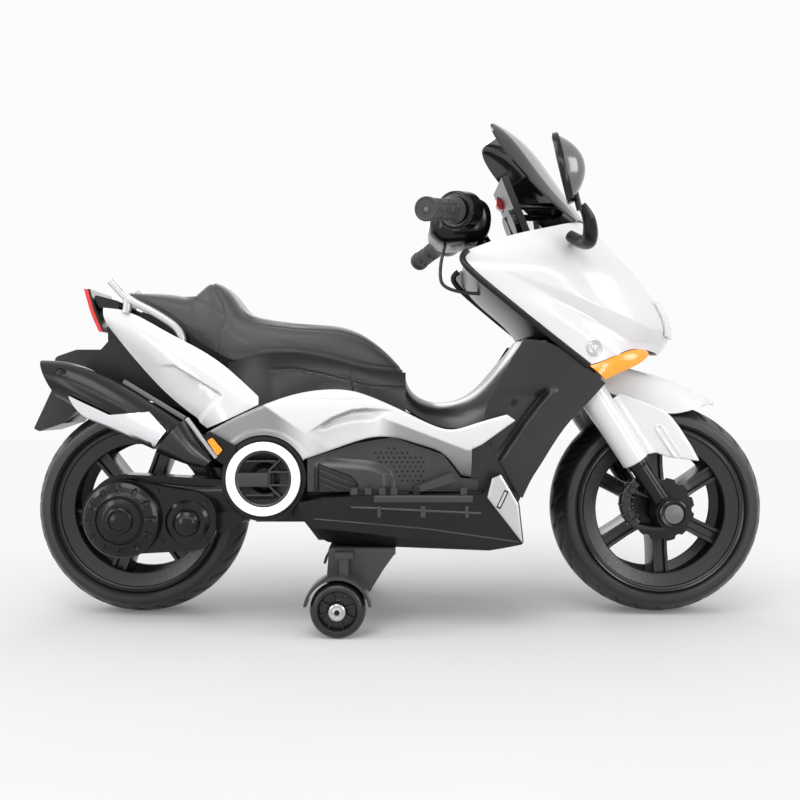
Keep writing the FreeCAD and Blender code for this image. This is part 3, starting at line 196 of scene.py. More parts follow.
# %% Moulded plastics
# Painted shade: how dark the shaded facets of the side panel are, as a share of the white.
PAINTED_SHADE_TONE = 0.28
GRAIN_HIGH = 0.0004


def moulded(name, colour, drift, rough, rough_drift, grain, depth, even=None, facet=False):
    """Plastic whose colour and gloss drift slowly, with a fine grain; chosen facets can carry painted
    shade.
    """
    finish = Finish(name, even or {})
    slow = finish.noise(14, 2)
    fine = finish.noise(grain, 2)
    low = [c * (1 - drift) for c in colour]
    high = [min(1, c * (1 + drift)) for c in colour]
    paint = finish.tint(low, high, slow)
    # Painted shade: the colour darkens towards a darker tone by a share written on each point.
    if facet:
        shaded = finish.node("ShaderNodeAttribute", {"attribute_name": "facet"}, {}, "Fac")
        paint = finish.tint(paint, [c * PAINTED_SHADE_TONE for c in colour], shaded)
    finish.feed("Base Color", paint)
    finish.feed("Roughness", rough + rough_drift * (slow - 0.5) + 0.05 * (fine - 0.5))
    finish.bump(fine, depth, GRAIN_HIGH)
    return finish.material


GLOSS = {"Coat Weight": 0.6, "Coat Roughness": 0.05}
DULL = {"Specular IOR Level": 0.32}
body_white = moulded("body_white", (0.68, 0.68, 0.685), 0.02, 0.22, 0.06, 700, 0.05, GLOSS)
# The side white carries painted shade on its facets and hollow.
side_white = moulded("side_white", (0.68, 0.68, 0.685), 0.02, 0.24, 0.06, 700, 0.05, GLOSS, True)
body_silver = moulded("body_silver", (0.52, 0.52, 0.53), 0.04, 0.26, 0.08, 1800, 0.10, {"Metallic": 0.35})
satin_black = moulded("satin_black", (0.005, 0.005, 0.0055), 0.35, 0.25, 0.08, 1500, 0.10, DULL)
gloss_black = moulded("gloss_black", (0.005, 0.005, 0.0055), 0.25, 0.19, 0.06, 800, 0.05, DULL)
grille_black = moulded("grille_black", (0.003, 0.003, 0.0035), 0.3, 0.34, 0.10, 1200, 0.12, DULL)
soft_black = moulded("soft_black", (0.012, 0.012, 0.013), 0.3, 0.25, 0.08, 1200, 0.08)
vent_grey = moulded("vent_grey", (0.034, 0.034, 0.036), 0.25, 0.30, 0.08, 1200, 0.10)
rim_black = moulded("rim_black", (0.013, 0.013, 0.0135), 0.3, 0.28, 0.08, 900, 0.08)
cap_grey = moulded("cap_grey", (0.13, 0.13, 0.135), 0.1, 0.34, 0.08, 1500, 0.12)
mirror_grey = moulded("mirror_grey", (0.10, 0.10, 0.105), 0.15, 0.16, 0.05, 800, 0.04, GLOSS)
nylon = moulded("gear_nylon", (0.62, 0.60, 0.54), 0.06, 0.42, 0.10, 1200, 0.10)
battery_grey = moulded("battery_grey", (0.10, 0.10, 0.11), 0.15, 0.45, 0.12, 1400, 0.2)
print("plastics:", len(bpy.data.materials))

# %% [markdown]
# ## Smoked screen
# The windshield is dark plastic, with a painted reflection: a paler middle on its outer face. How far a
# point lies from the middle plane comes from its place, and a surface that faces ahead is an outer one.


# %% Smoked screen
PAINTED_REFLECTION_HALF = 0.064
PAINTED_REFLECTION_BLEND = 0.004


def screen(name, dark, painted_reflection):
    """Painted reflection: pale on the outer face within a half width of the middle; dark at the rims and
    inside.
    """
    finish = Finish(name, GLOSS)
    slow = finish.noise(14, 2)
    fine = finish.noise(500, 2)
    aside = finish.node("ShaderNodeSeparateXYZ", {}, {0: finish.place()}, "Y")
    facing = finish.node("ShaderNodeNewGeometry", {}, {}, "Normal")
    ahead = finish.node("ShaderNodeSeparateXYZ", {}, {0: facing}, "X")
    edge = {"Value": aside * aside, 1: PAINTED_REFLECTION_HALF**2, 2: (PAINTED_REFLECTION_HALF - PAINTED_REFLECTION_BLEND) ** 2}
    inside = finish.node("ShaderNodeMapRange", SMOOTH, edge)
    outer = finish.node("ShaderNodeMapRange", SMOOTH, {"Value": ahead, 1: 0.3, 2: 0.45})
    # Painted reflection: the pale grey stands in for the bright room mirrored on the faces that point
    # ahead.
    finish.feed("Base Color", finish.tint(dark, painted_reflection, inside * outer * (0.9 + 0.2 * slow)))
    finish.feed("Roughness", 0.10 + 0.06 * (slow - 0.5))
    finish.bump(fine, 0.02, GRAIN_HIGH)
    return finish.material


smoked = screen("smoked_screen", (0.010, 0.010, 0.011), (0.26, 0.26, 0.27))
print("made", smoked.name)

# %% [markdown]
# ## Rubber, vinyl, metal and lenses
# Rubber is dull with a dusty bloom, vinyl has a leather print pressed into it, plated parts show faint
# polishing streaks, and lenses have rows of small prisms behind a glossy face.


# %% Rubber, vinyl, metal and lenses
def rubber(name, colour, rough):
    """Dull rubber; where dust lies it is paler and a little rougher."""
    finish = Finish(name, {"Specular IOR Level": 0.5})
    dust = finish.noise(30, 4)
    fine = finish.noise(1600, 2)
    finish.feed("Base Color", finish.tint(colour, [c * 2.2 for c in colour], dust * dust))
    finish.feed("Roughness", rough + 0.18 * (dust - 0.5))
    finish.bump(fine, 0.3, 0.0005)
    return finish.material


def vinyl(name, colour):
    """Leather print: small pebbles with creases between them, a little lighter on their crowns."""
    finish = Finish(name, {"Sheen Weight": 0.15, "Sheen Roughness": 0.4, "Specular IOR Level": 0.4})
    pebbles = finish.cells(620)
    creases = finish.cells(620, "DISTANCE_TO_EDGE")
    worn = finish.noise(16, 3)
    finish.feed("Base Color", finish.tint(colour, [c * 1.7 for c in colour], worn * 0.7 + pebbles * 0.3))
    finish.feed("Roughness", 0.42 + 0.12 * (worn - 0.5) + 0.08 * pebbles)
    finish.bump(creases, 0.28, 0.0006)
    return finish.material


def metal(name, colour, rough, streak):
    """Plated or turned metal with faint streaks along X."""
    finish = Finish(name, {"Metallic": 1.0})
    lines = finish.noise(900, 3, (0.05, 1, 1))
    stain = finish.noise(22, 3)
    finish.feed("Base Color", finish.tint([c * 0.88 for c in colour], colour, stain))
    finish.feed("Roughness", rough + streak * (lines - 0.5) + 0.05 * (stain - 0.5))
    finish.bump(lines, 0.04, 0.0003)
    return finish.material


def lens(name, deep, bright, glow):
    """Tinted lens: rows of prisms show through as lighter and darker bands."""
    finish = Finish(name, {"Coat Weight": 0.5, "Coat Roughness": 0.05, "Emission Strength": glow})
    rows = {"Vector": finish.place(), "Scale": 75, "Distortion": 0.4}
    prisms = finish.node("ShaderNodeTexWave", {}, rows)
    spots = finish.noise(160, 2)
    colour = finish.tint(deep, bright, prisms * 0.35 + spots * 0.65)
    finish.feed("Base Color", colour)
    finish.feed("Emission Color", colour)
    finish.feed("Roughness", 0.16 + 0.1 * spots)
    finish.bump(prisms, 0.12, GRAIN_HIGH)
    return finish.material


tyre_rubber = rubber("tyre_rubber", (0.012, 0.012, 0.0125), 0.40)
grip_rubber = rubber("grip_rubber", (0.022, 0.022, 0.023), 0.46)
seat_vinyl = vinyl("seat_vinyl", (0.030, 0.030, 0.032))
chrome = metal("shield_chrome", (0.90, 0.91, 0.92), 0.20, 0.06)
steel = metal("steel", (0.55, 0.55, 0.56), 0.30, 0.15)
bar_metal = metal("bar_metal", (0.10, 0.10, 0.105), 0.35, 0.12)
looking_glass = metal("mirror_glass", (0.80, 0.82, 0.84), 0.03, 0.02)
amber = lens("amber_plastic", (0.85, 0.22, 0.005), (1.0, 0.36, 0.02), 0.25)
tail_red = lens("tail_red", (0.50, 0.006, 0.006), (0.80, 0.03, 0.02), 0.12)
switch_red = lens("switch_red", (0.42, 0.005, 0.006), (0.62, 0.02, 0.02), 0.05)
ring_white = lens("ring_white", (0.90, 0.90, 0.90), (0.96, 0.96, 0.96), 0.45)
clear_lens = lens("clear_lens", (0.62, 0.63, 0.64), (0.82, 0.83, 0.84), 0.0)
print("finishes:", len(bpy.data.materials))

# %% [markdown]
# ## Floor and studio light
# The motorbike stands on a white sweep in a bright studio. The floor keeps the soft shadow near the wheels
# and fades into plain white further out, so that the camera and shiny pieces see the same pale room. The
# sky is white to them too, and lights the rest from overhead; soft boxes and strips draw the long
# highlights.

# %% Floor and studio light
FLOOR_HALF = 6000
SHADE_FROM, SHADE_REACH = 0.35, 1.15
NEAR_WHITE = 0.12
PLAIN_WHITE = (0.945, 0.945, 0.95, 1)
LOW_SKY, HIGH_SKY = 0.06, 1.0
SKY_FROM, SKY_TO = 0.2, 0.85
LAMPS = [
    ("key_box", (-400, -1500, 2500), (0, 0, 300), 1500, 1500, 29),
    ("front_box", (2200, -900, 1300), (150, 0, 350), 900, 900, 15),
    ("rear_box", (-2200, -600, 1500), (-200, 0, 300), 900, 900, 16),
    ("far_box", (-300, 2000, 1500), (0, 0, 300), 1200, 1200, 14),
    ("top_strip", (0, -2300, 1350), (0, 0, 300), 2600, 220, 11),
    ("front_strip", (1350, -1900, 500), (100, 0, 300), 220, 1300, 8),
    ("rear_strip", (-1500, -1900, 500), (-150, 0, 300), 220, 1300, 8),
]


def floor_finish():
    """White floor that turns into plain white light beyond the reach of the shadow."""
    finish = Finish("studio_floor", {"Roughness": 0.8, "Specular IOR Level": 0.1})
    speck = finish.noise(3, 2)
    finish.feed("Base Color", finish.tint((0.62, 0.62, 0.625), (0.65, 0.65, 0.655), speck))
    away = finish.node("ShaderNodeVectorMath", {"operation": "LENGTH"}, {0: finish.place()}, "Value")
    fade = {"Value": away, 1: SHADE_FROM, 2: SHADE_REACH, 3: NEAR_WHITE, 4: 1.0}
    far = finish.node("ShaderNodeMapRange", SMOOTH, fade)
    white = finish.node("ShaderNodeEmission", {}, {"Color": PLAIN_WHITE, "Strength": 1.0})
    lit = Value(finish, finish.shader.outputs[0])
    mixed = finish.node("ShaderNodeMixShader", {}, {0: far * finish.seen(), 1: lit, 2: white})
    finish.join(mixed, finish.tree.nodes["Material Output"].inputs[0])
    return finish.material


def studio_light(name, at, aim, wide, tall, power):
    """A soft box of a width and height at a place in millimetres, facing a point."""
    lamp = bpy.data.lights.new(name, "AREA")
    lamp.energy = power
    lamp.shape = "RECTANGLE"
    lamp.size = wide * MM
    lamp.size_y = tall * MM
    obj = bpy.data.objects.new(name, lamp)
    obj.location = [c * MM for c in at]
    towards = np.array(aim, float) - np.array(at, float)
    flat = math.hypot(towards[0], towards[1])
    obj.rotation_euler = (math.atan2(flat, -towards[2]), 0, math.atan2(-towards[0], towards[1]))
    bpy.context.collection.objects.link(obj)


floor_mesh = bpy.data.meshes.new("floor")
half = FLOOR_HALF * MM
corners = [(-half, -half, 0), (half, -half, 0), (half, half, 0), (-half, half, 0)]
floor_mesh.from_pydata(corners, [], [(0, 1, 2, 3)])
floor_mesh.materials.append(floor_finish())
floor = bpy.data.objects.new("floor", floor_mesh)
bpy.context.collection.objects.link(floor)

world = bpy.data.worlds.new("studio")
bpy.context.scene.world = world
world.use_nodes = True
studio = Nodes(world.node_tree)
sky = studio.tree.nodes["Background"]
sky.inputs["Color"].default_value = (0.97, 0.97, 0.98, 1)
where = studio.node("ShaderNodeTexCoord", {}, {}, "Generated")
height = studio.node("ShaderNodeSeparateXYZ", {}, {0: where}, "Z")
rising = {"Value": height, 1: SKY_FROM, 2: SKY_TO, 3: LOW_SKY, 4: HIGH_SKY}
overhead = studio.node("ShaderNodeMapRange", SMOOTH, rising)
level = studio.node("ShaderNodeMapRange", {}, {"Value": studio.seen(), 3: overhead, 4: 1.0})
studio.join(level, sky.inputs["Strength"])
for lamp in LAMPS:
    studio_light(*lamp)
print("lamps:", len(bpy.data.lights))

# %% [markdown]
# ## Finishes of the solids
# Solids that already have the right shape are kept as they are and only get a finish. The table names the
# finish of each one, also of those that a new piece replaces later. Edges of the plain ones that stay are
# softened.

# %% Finishes of the solids
SOLID_FINISH = {
    soft_black: ["tunnel_cover", "leg_shield"],
    vent_grey: ["stabiliser_brackets", "throttle_pedal"],
    satin_black: ["chassis_tub", "footboards",
                  "lower_cowls", "side_vents", "seat_pan", "tail_frame", "rear_mudguard", "steering_head",
                  "body_screws", "brake_disc", "exhaust_muffler", "steering_stem", "tail_cover"],
    gloss_black: ["drive_case", "drive_cover", "handlebar_cover", "dashboard", "mirror_stems", "fork_legs"],
    grille_black: ["ring_grilles", "brake_caliper", "control_box"],
    rim_black: ["front_rim", "rear_rim", "stabiliser_wheel_right", "stabiliser_wheel_left"],
    body_white: ["front_cowls", "front_fender", "fork_covers", "side_panels", "tail_panels"],
    body_silver: ["grab_rails", "sill_tips"],
    tyre_rubber: ["front_tyre", "rear_tyre"],
    grip_rubber: ["grips", "control_cable"],
    seat_vinyl: ["seat_cushion"],
    chrome: ["exhaust_shield"],
    steel: ["front_axle", "rear_axle", "stabiliser_axles", "drive_motor", "motor_pinion"],
    bar_metal: ["handlebar"],
    cap_grey: ["hub_caps"],
    smoked: ["windshield"],
    mirror_grey: ["mirror_head_right", "mirror_head_left"],
    amber: ["amber_lenses"],
    tail_red: ["tail_light"],
    switch_red: ["power_switch"],
    ring_white: ["ring_lights"],
    clear_lens: ["headlights"],
    nylon: ["drive_gear"],
    battery_grey: ["battery"],
}
for finish, names in SOLID_FINISH.items():
    for name in names:
        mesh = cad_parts[name].data
        mesh.materials.clear()
        mesh.materials.append(finish)
SOFTENED = {"footboards": 1.5, "throttle_pedal": 1.2, "drive_case": 2.0, "drive_cover": 1.6,
            "dashboard": 1.0, "stabiliser_brackets": 1.2, "rear_mudguard": 1.2, "tail_cover": 1.2,
            "chassis_tub": 1.2, "tail_frame": 1.0}
for name, width in SOFTENED.items():
    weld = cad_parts[name].modifiers.new("weld", "WELD")
    weld.merge_threshold = 0.01 * MM
    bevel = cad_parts[name].modifiers.new("bevel", "BEVEL")
    bevel.width = width * MM
    bevel.segments = 2
    bevel.limit_method = "ANGLE"
    bevel.angle_limit = math.radians(40)
    bevel.harden_normals = True
left_bare = set(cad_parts) - {name for names in SOLID_FINISH.values() for name in names}
print("solids without a finish:", sorted(left_bare))

# %% [markdown]
# ## Surfaces from grids of points
# Every new piece below is one or more grids of points, worked out with numpy. A grid becomes a sheet of
# four-sided faces. Where two edges meet, their points are merged, so seams and poles close, and the faces
# then turn outwards.


# %% Surfaces from grids of points
def quads(rows, columns, start):
    """Corner numbers of the faces of a grid: each face joins a point, its neighbours and the one across."""
    corner = start + np.arange(rows * columns).reshape(rows, columns)
    faces = [corner[:-1, :-1], corner[1:, :-1], corner[1:, 1:], corner[:-1, 1:]]
    return np.stack(faces, -1).reshape(-1, 4)


def piece(name, grids, finish, body, nodes=(), sharp=35):
    """One object from grids in millimetres. It rides on a body and may stand for solids."""
    counts = [grid.shape[0] * grid.shape[1] for grid in grids]
    starts = np.cumsum([0] + counts[:-1])
    points = np.concatenate([grid.reshape(-1, 3) for grid in grids]) * MM
    faces = np.concatenate([quads(*grid.shape[:2], start) for grid, start in zip(grids, starts)])
    mesh = bpy.data.meshes.new(name)
    mesh.from_pydata(points.tolist(), [], faces.tolist())
    shape = bmesh.new()
    shape.from_mesh(mesh)
    bmesh.ops.remove_doubles(shape, verts=shape.verts, dist=0.003 * MM)
    bmesh.ops.recalc_face_normals(shape, faces=shape.faces)
    shape.to_mesh(mesh)
    shape.free()
    mesh.polygons.foreach_set("use_smooth", np.ones(len(mesh.polygons), bool))
    mesh.set_sharp_from_angle(angle=math.radians(sharp))
    mesh.materials.append(finish)
    obj = bpy.data.objects.new(name, mesh)
    bpy.context.collection.objects.link(obj)
    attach(obj, body)
    if nodes:
        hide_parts(*nodes)
    print(name, "faces", len(mesh.polygons))
    return obj


def both_sides(grids):
    """The grids of a right-hand piece and their mirror twins on the left."""
    return grids + [grid * (1, -1, 1) for grid in grids]


print("a grid of 3 by 4 points has", len(quads(3, 4, 0)), "faces")

# %% [markdown]
# ## Curves and surfaces
# A few chosen points give a line or a coarse net its sweep. A cubic spline fills in the rest; panels then
# get a wall behind them, because a moulding is never a bare sheet.


# %% Curves and surfaces
def spline(points, count):
    """Smooth cubic curve through points, at even steps of chord length. A point may be a whole row."""
    points = np.asarray(points, float)
    flat = points.reshape(len(points), -1)
    step = np.linalg.norm(np.diff(flat, axis=0), axis=1)
    knots = np.concatenate([[0], np.cumsum(step)])
    slope = np.diff(flat, axis=0) / step[:, None]
    system = np.eye(len(points))
    inner = np.arange(1, len(points) - 1)
    system[inner, inner - 1] = step[:-1]
    system[inner, inner] = 2 * (step[:-1] + step[1:])
    system[inner, inner + 1] = step[1:]
    right = np.zeros_like(flat)
    right[inner] = 6 * np.diff(slope, axis=0)
    bend = np.linalg.solve(system, right)
    at = np.linspace(0, knots[-1], count)
    part = np.clip(np.searchsorted(knots, at, "right") - 1, 0, len(step) - 1)
    t = (at - knots[part])[:, None]
    h = step[part][:, None]
    a, b = bend[part], bend[part + 1]
    curve = flat[part] + t * (slope[part] - h * (2 * a + b) / 6) + t**2 * a / 2 + t**3 * (b - a) / (6 * h)
    return curve.reshape(count, *points.shape[1:])


def polyline(points, count):
    """Straight runs through points, at even steps of their length."""
    points = np.asarray(points, float)
    knots = np.concatenate([[0], np.cumsum(np.linalg.norm(np.diff(points, axis=0), axis=1))])
    at = np.linspace(0, knots[-1], count)
    return np.stack([np.interp(at, knots, column) for column in points.T], -1)


def sheet(rows, down, across):
    """Smooth surface through a coarse grid of points: a spline of rows, then a spline along each row."""
    long = spline(rows, down)
    return np.swapaxes(spline(np.swapaxes(long, 0, 1), across), 0, 1)


def normals(grid):
    """Unit normals of a grid, from the cross product of its two directions."""
    cross = np.cross(np.gradient(grid, axis=0), np.gradient(grid, axis=1))
    return cross / np.linalg.norm(cross, axis=-1, keepdims=True)


def walled(outer, inner):
    """The closed skin between an outer and an inner grid: both faces and the four narrow edges."""
    edges = [np.stack([outer[0], inner[0]]), np.stack([outer[-1], inner[-1]])]
    edges += [np.stack([outer[:, 0], inner[:, 0]]), np.stack([outer[:, -1], inner[:, -1]])]
    return [outer, inner] + edges


def shell(grid, thickness, inside):
    """A wall of even thickness behind a grid, on the side of an inner point."""
    out = normals(grid)
    middle = grid.shape[0] // 2, grid.shape[1] // 2
    towards = np.sign(np.dot(out[middle], np.asarray(inside) - grid[middle]))
    return walled(grid, grid + out * towards * thickness)


print("a spline through 3 points:", spline([(0, 0), (1, 1), (2, 0)], 5).shape)

# %% [markdown]
# ## Turned and carried forms
# Round pieces are a profile turned about an axis, and rods, strips and pipes are a profile carried along a
# line. Both are one formula on a grid: the place on the line plus the profile in the two directions across
# it.


# %% Turned and carried forms
def lathe(profile, centre, axis=(0, -1, 0), steps=96):
    """A profile of (along the axis, radius) turned about an axis through the centre."""
    profile = np.asarray(profile, float)
    axis = np.asarray(axis, float) / np.linalg.norm(axis)
    first = np.cross(axis, (0, 0, 1) if abs(axis[2]) < 0.9 else (1, 0, 0))
    first = first / np.linalg.norm(first)
    second = np.cross(axis, first)
    turn = np.linspace(0, 2 * np.pi, steps + 1)
    circle = np.cos(turn)[:, None] * first + np.sin(turn)[:, None] * second
    return np.asarray(centre) + profile[:, 0, None, None] * axis + profile[:, 1, None, None] * circle


def capped(rings, push=(0, 0, 0)):
    """Rings with the first and last one drawn together to a point at their middles, pushed out a little."""
    ends = [np.repeat(ring.mean(0)[None], ring.shape[0], 0)[None] for ring in (rings[0], rings[-1])]
    return np.concatenate([ends[0] - push, rings, ends[1] + push])


def carried(profile, path, up, scale=None):
    """A closed profile of (side, up) points carried along a path, its ends closed at their middles."""
    profile, path = np.asarray(profile, float), np.asarray(path, float)
    profile = np.vstack([profile, profile[:1]])
    ahead = np.gradient(path, axis=0)
    ahead = ahead / np.linalg.norm(ahead, axis=1, keepdims=True)
    side = np.cross(ahead, np.asarray(up, float))
    side = side / np.linalg.norm(side, axis=1, keepdims=True)
    top = np.cross(side, ahead)
    grow = np.ones(len(path)) if scale is None else np.asarray(scale, float)
    rings = path[:, None] + grow[:, None, None] * (
        profile[None, :, :1] * side[:, None] + profile[None, :, 1:] * top[:, None])
    return capped(rings)


def rounded(width, height, corner, steps=4):
    """A rectangle with round corners, as a closed profile of (side, up) points."""
    turn = np.linspace(0, np.pi / 2, steps)
    arc = corner * np.stack([np.cos(turn), np.sin(turn)], -1)
    spots = [(1, 1), (-1, 1), (-1, -1), (1, -1)]
    corners = []
    for index, (right, top) in enumerate(spots):
        spin = np.array([[0, 1], [-1, 0]]) if index else np.eye(2)
        arc = arc @ spin if index else arc
        corners.append(arc + (right * (width / 2 - corner), top * (height / 2 - corner)))
    return np.concatenate(corners)


def strip(wide, deep, corner, points, count):
    """A rounded strip along a run of straight lines, its broad side facing along Y."""
    return carried(rounded(wide, deep, corner), polyline(points, count), (0, 1, 0))


print("a rounded strip:", strip(4, 2, 0.5, [(0, 0, 0), (9, 0, 0)], 4).shape)

# %% [markdown]
# ## Heights over a panel
# Creases, scoops and ribs are heights taken off or added to a smooth panel. They need only two measures: a
# smooth step between two values, and how far a point lies above a line drawn on the side view.


# %% Heights over a panel
def rise(value, low, high):
    """Smooth step from 0 at low to 1 at high."""
    t = np.clip((value - low) / (high - low), 0, 1)
    return t * t * (3 - 2 * t)


def beside(x, z, points):
    """How far points lie above a line through a list of (x, z) points, up the page."""
    line = np.asarray(points, float)
    return z - np.interp(x, line[:, 0], line[:, 1])


print("half way up a step:", rise(0.5, 0, 1))

# %% [markdown]
# ## Tyres
# The tyres are one hollow moulding with a smooth sidewall and slanted notches along both shoulders. The
# section is a spline from bead to bead, turned about the axle; the notches lower the radius where a
# slanted wave passes.

# %% Tyres
TYRE_HALF = [(-40, 121.4), (-46.5, 125), (-48, 131), (-46.5, 137), (-39, 143), (-29, 148.5), (-16, 153.2),
             (0, 155)]
NOTCHES = 30
NOTCH_DEEP = 2.6
BEAD_R, WALL_R = 127, 146.5


def tyre(name, x, node, body):
    """Section radius less the notches; a notch's angle is its slant times the distance off the middle."""
    half = np.array(TYRE_HALF)
    section = spline(np.vstack([half, half[-2::-1] * (-1, 1)]), 76)
    turn = np.linspace(0, 2 * np.pi, NOTCHES * 16 + 1)
    along, radius = np.meshgrid(section[:, 0], turn, indexing="ij")[0], section[:, 1][:, None]
    off = np.abs(along)
    ripple = 0.7 * np.exp(-((radius - BEAD_R) / 1.0) ** 2) - 0.5 * np.exp(-((radius - WALL_R) / 1.1) ** 2)
    wave = (turn[None] * NOTCHES / (2 * np.pi) + 0.028 * (off - 30) + 0.5 * (along > 0)) % 1
    notch = rise(0.16 - np.abs(wave - 0.5), 0, 0.09) * rise(off, 9, 15) * rise(40 - off, 0, 5)
    radius = radius - NOTCH_DEEP * notch
    along = along + np.sign(along) * (ripple * (off > 30) - 0.8 * notch * (off > 38))
    grid = np.stack([x + radius * np.cos(turn), along, AXLE_Z + radius * np.sin(turn)], -1)
    bore = np.stack([grid[-1], grid[0]])
    return piece(name, [grid, bore], tyre_rubber, body, [node], 40)


tyre("tyre_front", FRONT_X, "front_tyre", "front_wheel")
tyre("tyre_rear", REAR_X, "rear_tyre", "rear_wheel")

# %% [markdown]
# ## Rims
# Each rim is a deep ring with a stepped lip, and six hollow spokes with two raised edges. The ring and the
# hub are turned sections; the spoke is a channel-shaped profile carried from the hub to the ring.

# %% Rims
LIP = [(43, 121), (44, 119.6), (42.6, 117.6), (43.4, 115.6), (42.6, 113.8), (40.6, 112.6), (37, 99),
       (36.4, 95.4), (35, 94), (33, 95.2), (29, 107), (20, 113.5)]
HUB = [(-46, 6.3), (-46, 20), (-44, 22.5), (-38, 24), (-34, 29), (-30, 30), (30, 30), (34, 29), (38, 24),
       (44, 22.5), (46, 20), (46, 6.3), (-46, 6.3)]
SPOKE = [(-12, -21), (-11, -26), (-6.5, -26), (-4.5, -20.5), (4.5, -20.5), (6.5, -26), (11, -26), (12, -21),
         (12, 21), (11, 26), (6.5, 26), (4.5, 20.5), (-4.5, 20.5), (-6.5, 26), (-11, 26), (-12, 21)]
SPOKE_AT = [26, 36, 60, 88, 104, 114]
SPOKE_SCALE = [1.2, 1.0, 0.94, 0.98, 1.05, 1.12]


def rim(name, x, phase, node, body):
    """Ring, hub and six spokes about the axle; a spoke starts at the phase angle."""
    centre = (x, 0, AXLE_Z)
    lip = np.array(LIP)
    ring = np.vstack([lip, lip[::-1] * (-1, 1), lip[:1]])
    grids = [lathe(ring, centre, steps=144), lathe(HUB, centre, steps=72)]
    for turn in np.radians(phase + 60 * np.arange(6)):
        out = np.array([np.cos(turn), 0, np.sin(turn)])
        path = np.array(centre) + np.array(SPOKE_AT)[:, None] * out
        grids.append(carried(SPOKE, path, (0, 1, 0), SPOKE_SCALE))
    return piece(name, grids, rim_black, body, [node], 30)


rim("rim_front", FRONT_X, 33, "front_rim", "front_wheel")
rim("rim_rear", REAR_X, 9, "rear_rim", "rear_wheel")

# %% [markdown]
# ## Front cowls
# Each half of the nose is one thin moulding that wraps from the handlebar to the middle. A coarse net of
# points gives its sweep. Two creases start near the rider's knee and open towards the headlights: between
# them the surface leans in, so it catches less light, and below the lower one it swells out again.

# %% Front cowls
COWL = np.array([
    [(-284, -108, 522), (-230, -100, 542), (-175, -88, 556), (-135, -70, 566), (-105, -38, 566),
     (-82, -0.5, 550)],
    [(-290, -112, 505), (-230, -113, 510), (-165, -110, 512), (-100, -85, 515), (-55, -45, 510),
     (-28, -0.5, 497)],
    [(-250, -116, 467), (-190, -118, 470), (-130, -112, 470), (-70, -88, 466), (-18, -48, 458),
     (10, -0.5, 448)],
    [(-190, -118, 418), (-140, -117, 422), (-90, -108, 424), (-45, -86, 422), (0, -45, 416),
     (24, -0.5, 410)],
    [(-118, -115, 362), (-90, -110, 372), (-62, -98, 383), (-32, -75, 386), (-8, -42, 382),
     (6, -0.5, 380)],
]) + (FRONT_X, 0, 0)
UPPER_CREASE = [(127, 499), (358, 415)]
LOWER_CREASE = [(127, 499), (333, 394)]
CREASE_DEEP = 9
PLATE = 3


def outward(grid):
    """Normals of a right-hand panel, turned to face away from the middle of the motorbike."""
    out = normals(grid)
    middle = out[grid.shape[0] // 2, grid.shape[1] // 3]
    return out if middle[1] < 0 else -out


def pressed_in(grid, depth):
    """The grid moved inwards along its normals."""
    return grid - outward(grid) * depth[..., None]


cowl = sheet(COWL, 110, 130)
x, y, z = np.moveaxis(cowl, -1, 0)
above, below = beside(x, z, UPPER_CREASE), -beside(x, z, LOWER_CREASE)
share = np.clip(-above / np.maximum(-above - below, 1e-6), 0, 1)
wedge = np.where(below < 0, np.where(above < 0, share, 0), 1 - rise(below, 0, 34))
lean = CREASE_DEEP * rise(x, 127, 310) * (1 - 0.6 * rise(x, 345, 395)) * rise(-y, 12, 48)
cowl = pressed_in(cowl, wedge * lean)
piece("cowls", both_sides(shell(cowl, PLATE, (200, 0, 450))), body_white, "chassis",
      ["front_cowls"], 22)

lip = cowl[:, 0] + (-1.5, 1.0, -1.5)
piece("cowl_lips", both_sides([carried(rounded(9, 6, 2.5), lip, (0, 1, 0))]), gloss_black, "chassis")

# %% [markdown]
# ## Panels between two outlines
# Flat panels are drawn as columns of points that run from a lower to an upper outline. One function makes
# a plain plate of them, and one says how far the edges of a panel turn in.


# %% Panels between two outlines
def between_lines(low, high, x, rows):
    """Columns of points at given places along X, from a lower to an upper outline: x and z as two grids."""
    low_z = np.interp(x, low[:, 0], low[:, 1])
    high_z = np.interp(x, high[:, 0], high[:, 1])
    share = np.linspace(0, 1, rows)[:, None]
    return np.broadcast_to(x, (rows, len(x))), low_z + (high_z - low_z) * share


def plate(low, high, x, rows, y, thick):
    """A flat plate between two outlines, at a distance along Y."""
    x, z = between_lines(low, high, x, rows)
    face = np.stack([x, np.full(x.shape, float(y)), z], -1)
    return walled(face, face + (0, thick, 0))


def rolled(x, z, low, high, depth, reach):
    """How far the edges of a panel turn in, close to its two outlines."""
    edge = np.minimum(beside(x, z, high) * -1, beside(x, z, low))
    return depth * np.exp(-np.maximum(edge, 0) / reach)


foot_line = np.array([(0, 0), (9, 0)])
print("a plate has", len(plate(foot_line, foot_line + (0, 5), np.linspace(0, 9, 4), 3, 0, 2)), "grids")

# %% [markdown]
# ## Side panels
# The white boomerang under the seat is a flat moulding with pressed facets. It is drawn as a height map:
# columns run from its lower to its upper outline, and a height is taken off wherever a facet leans in or a
# crease starts.

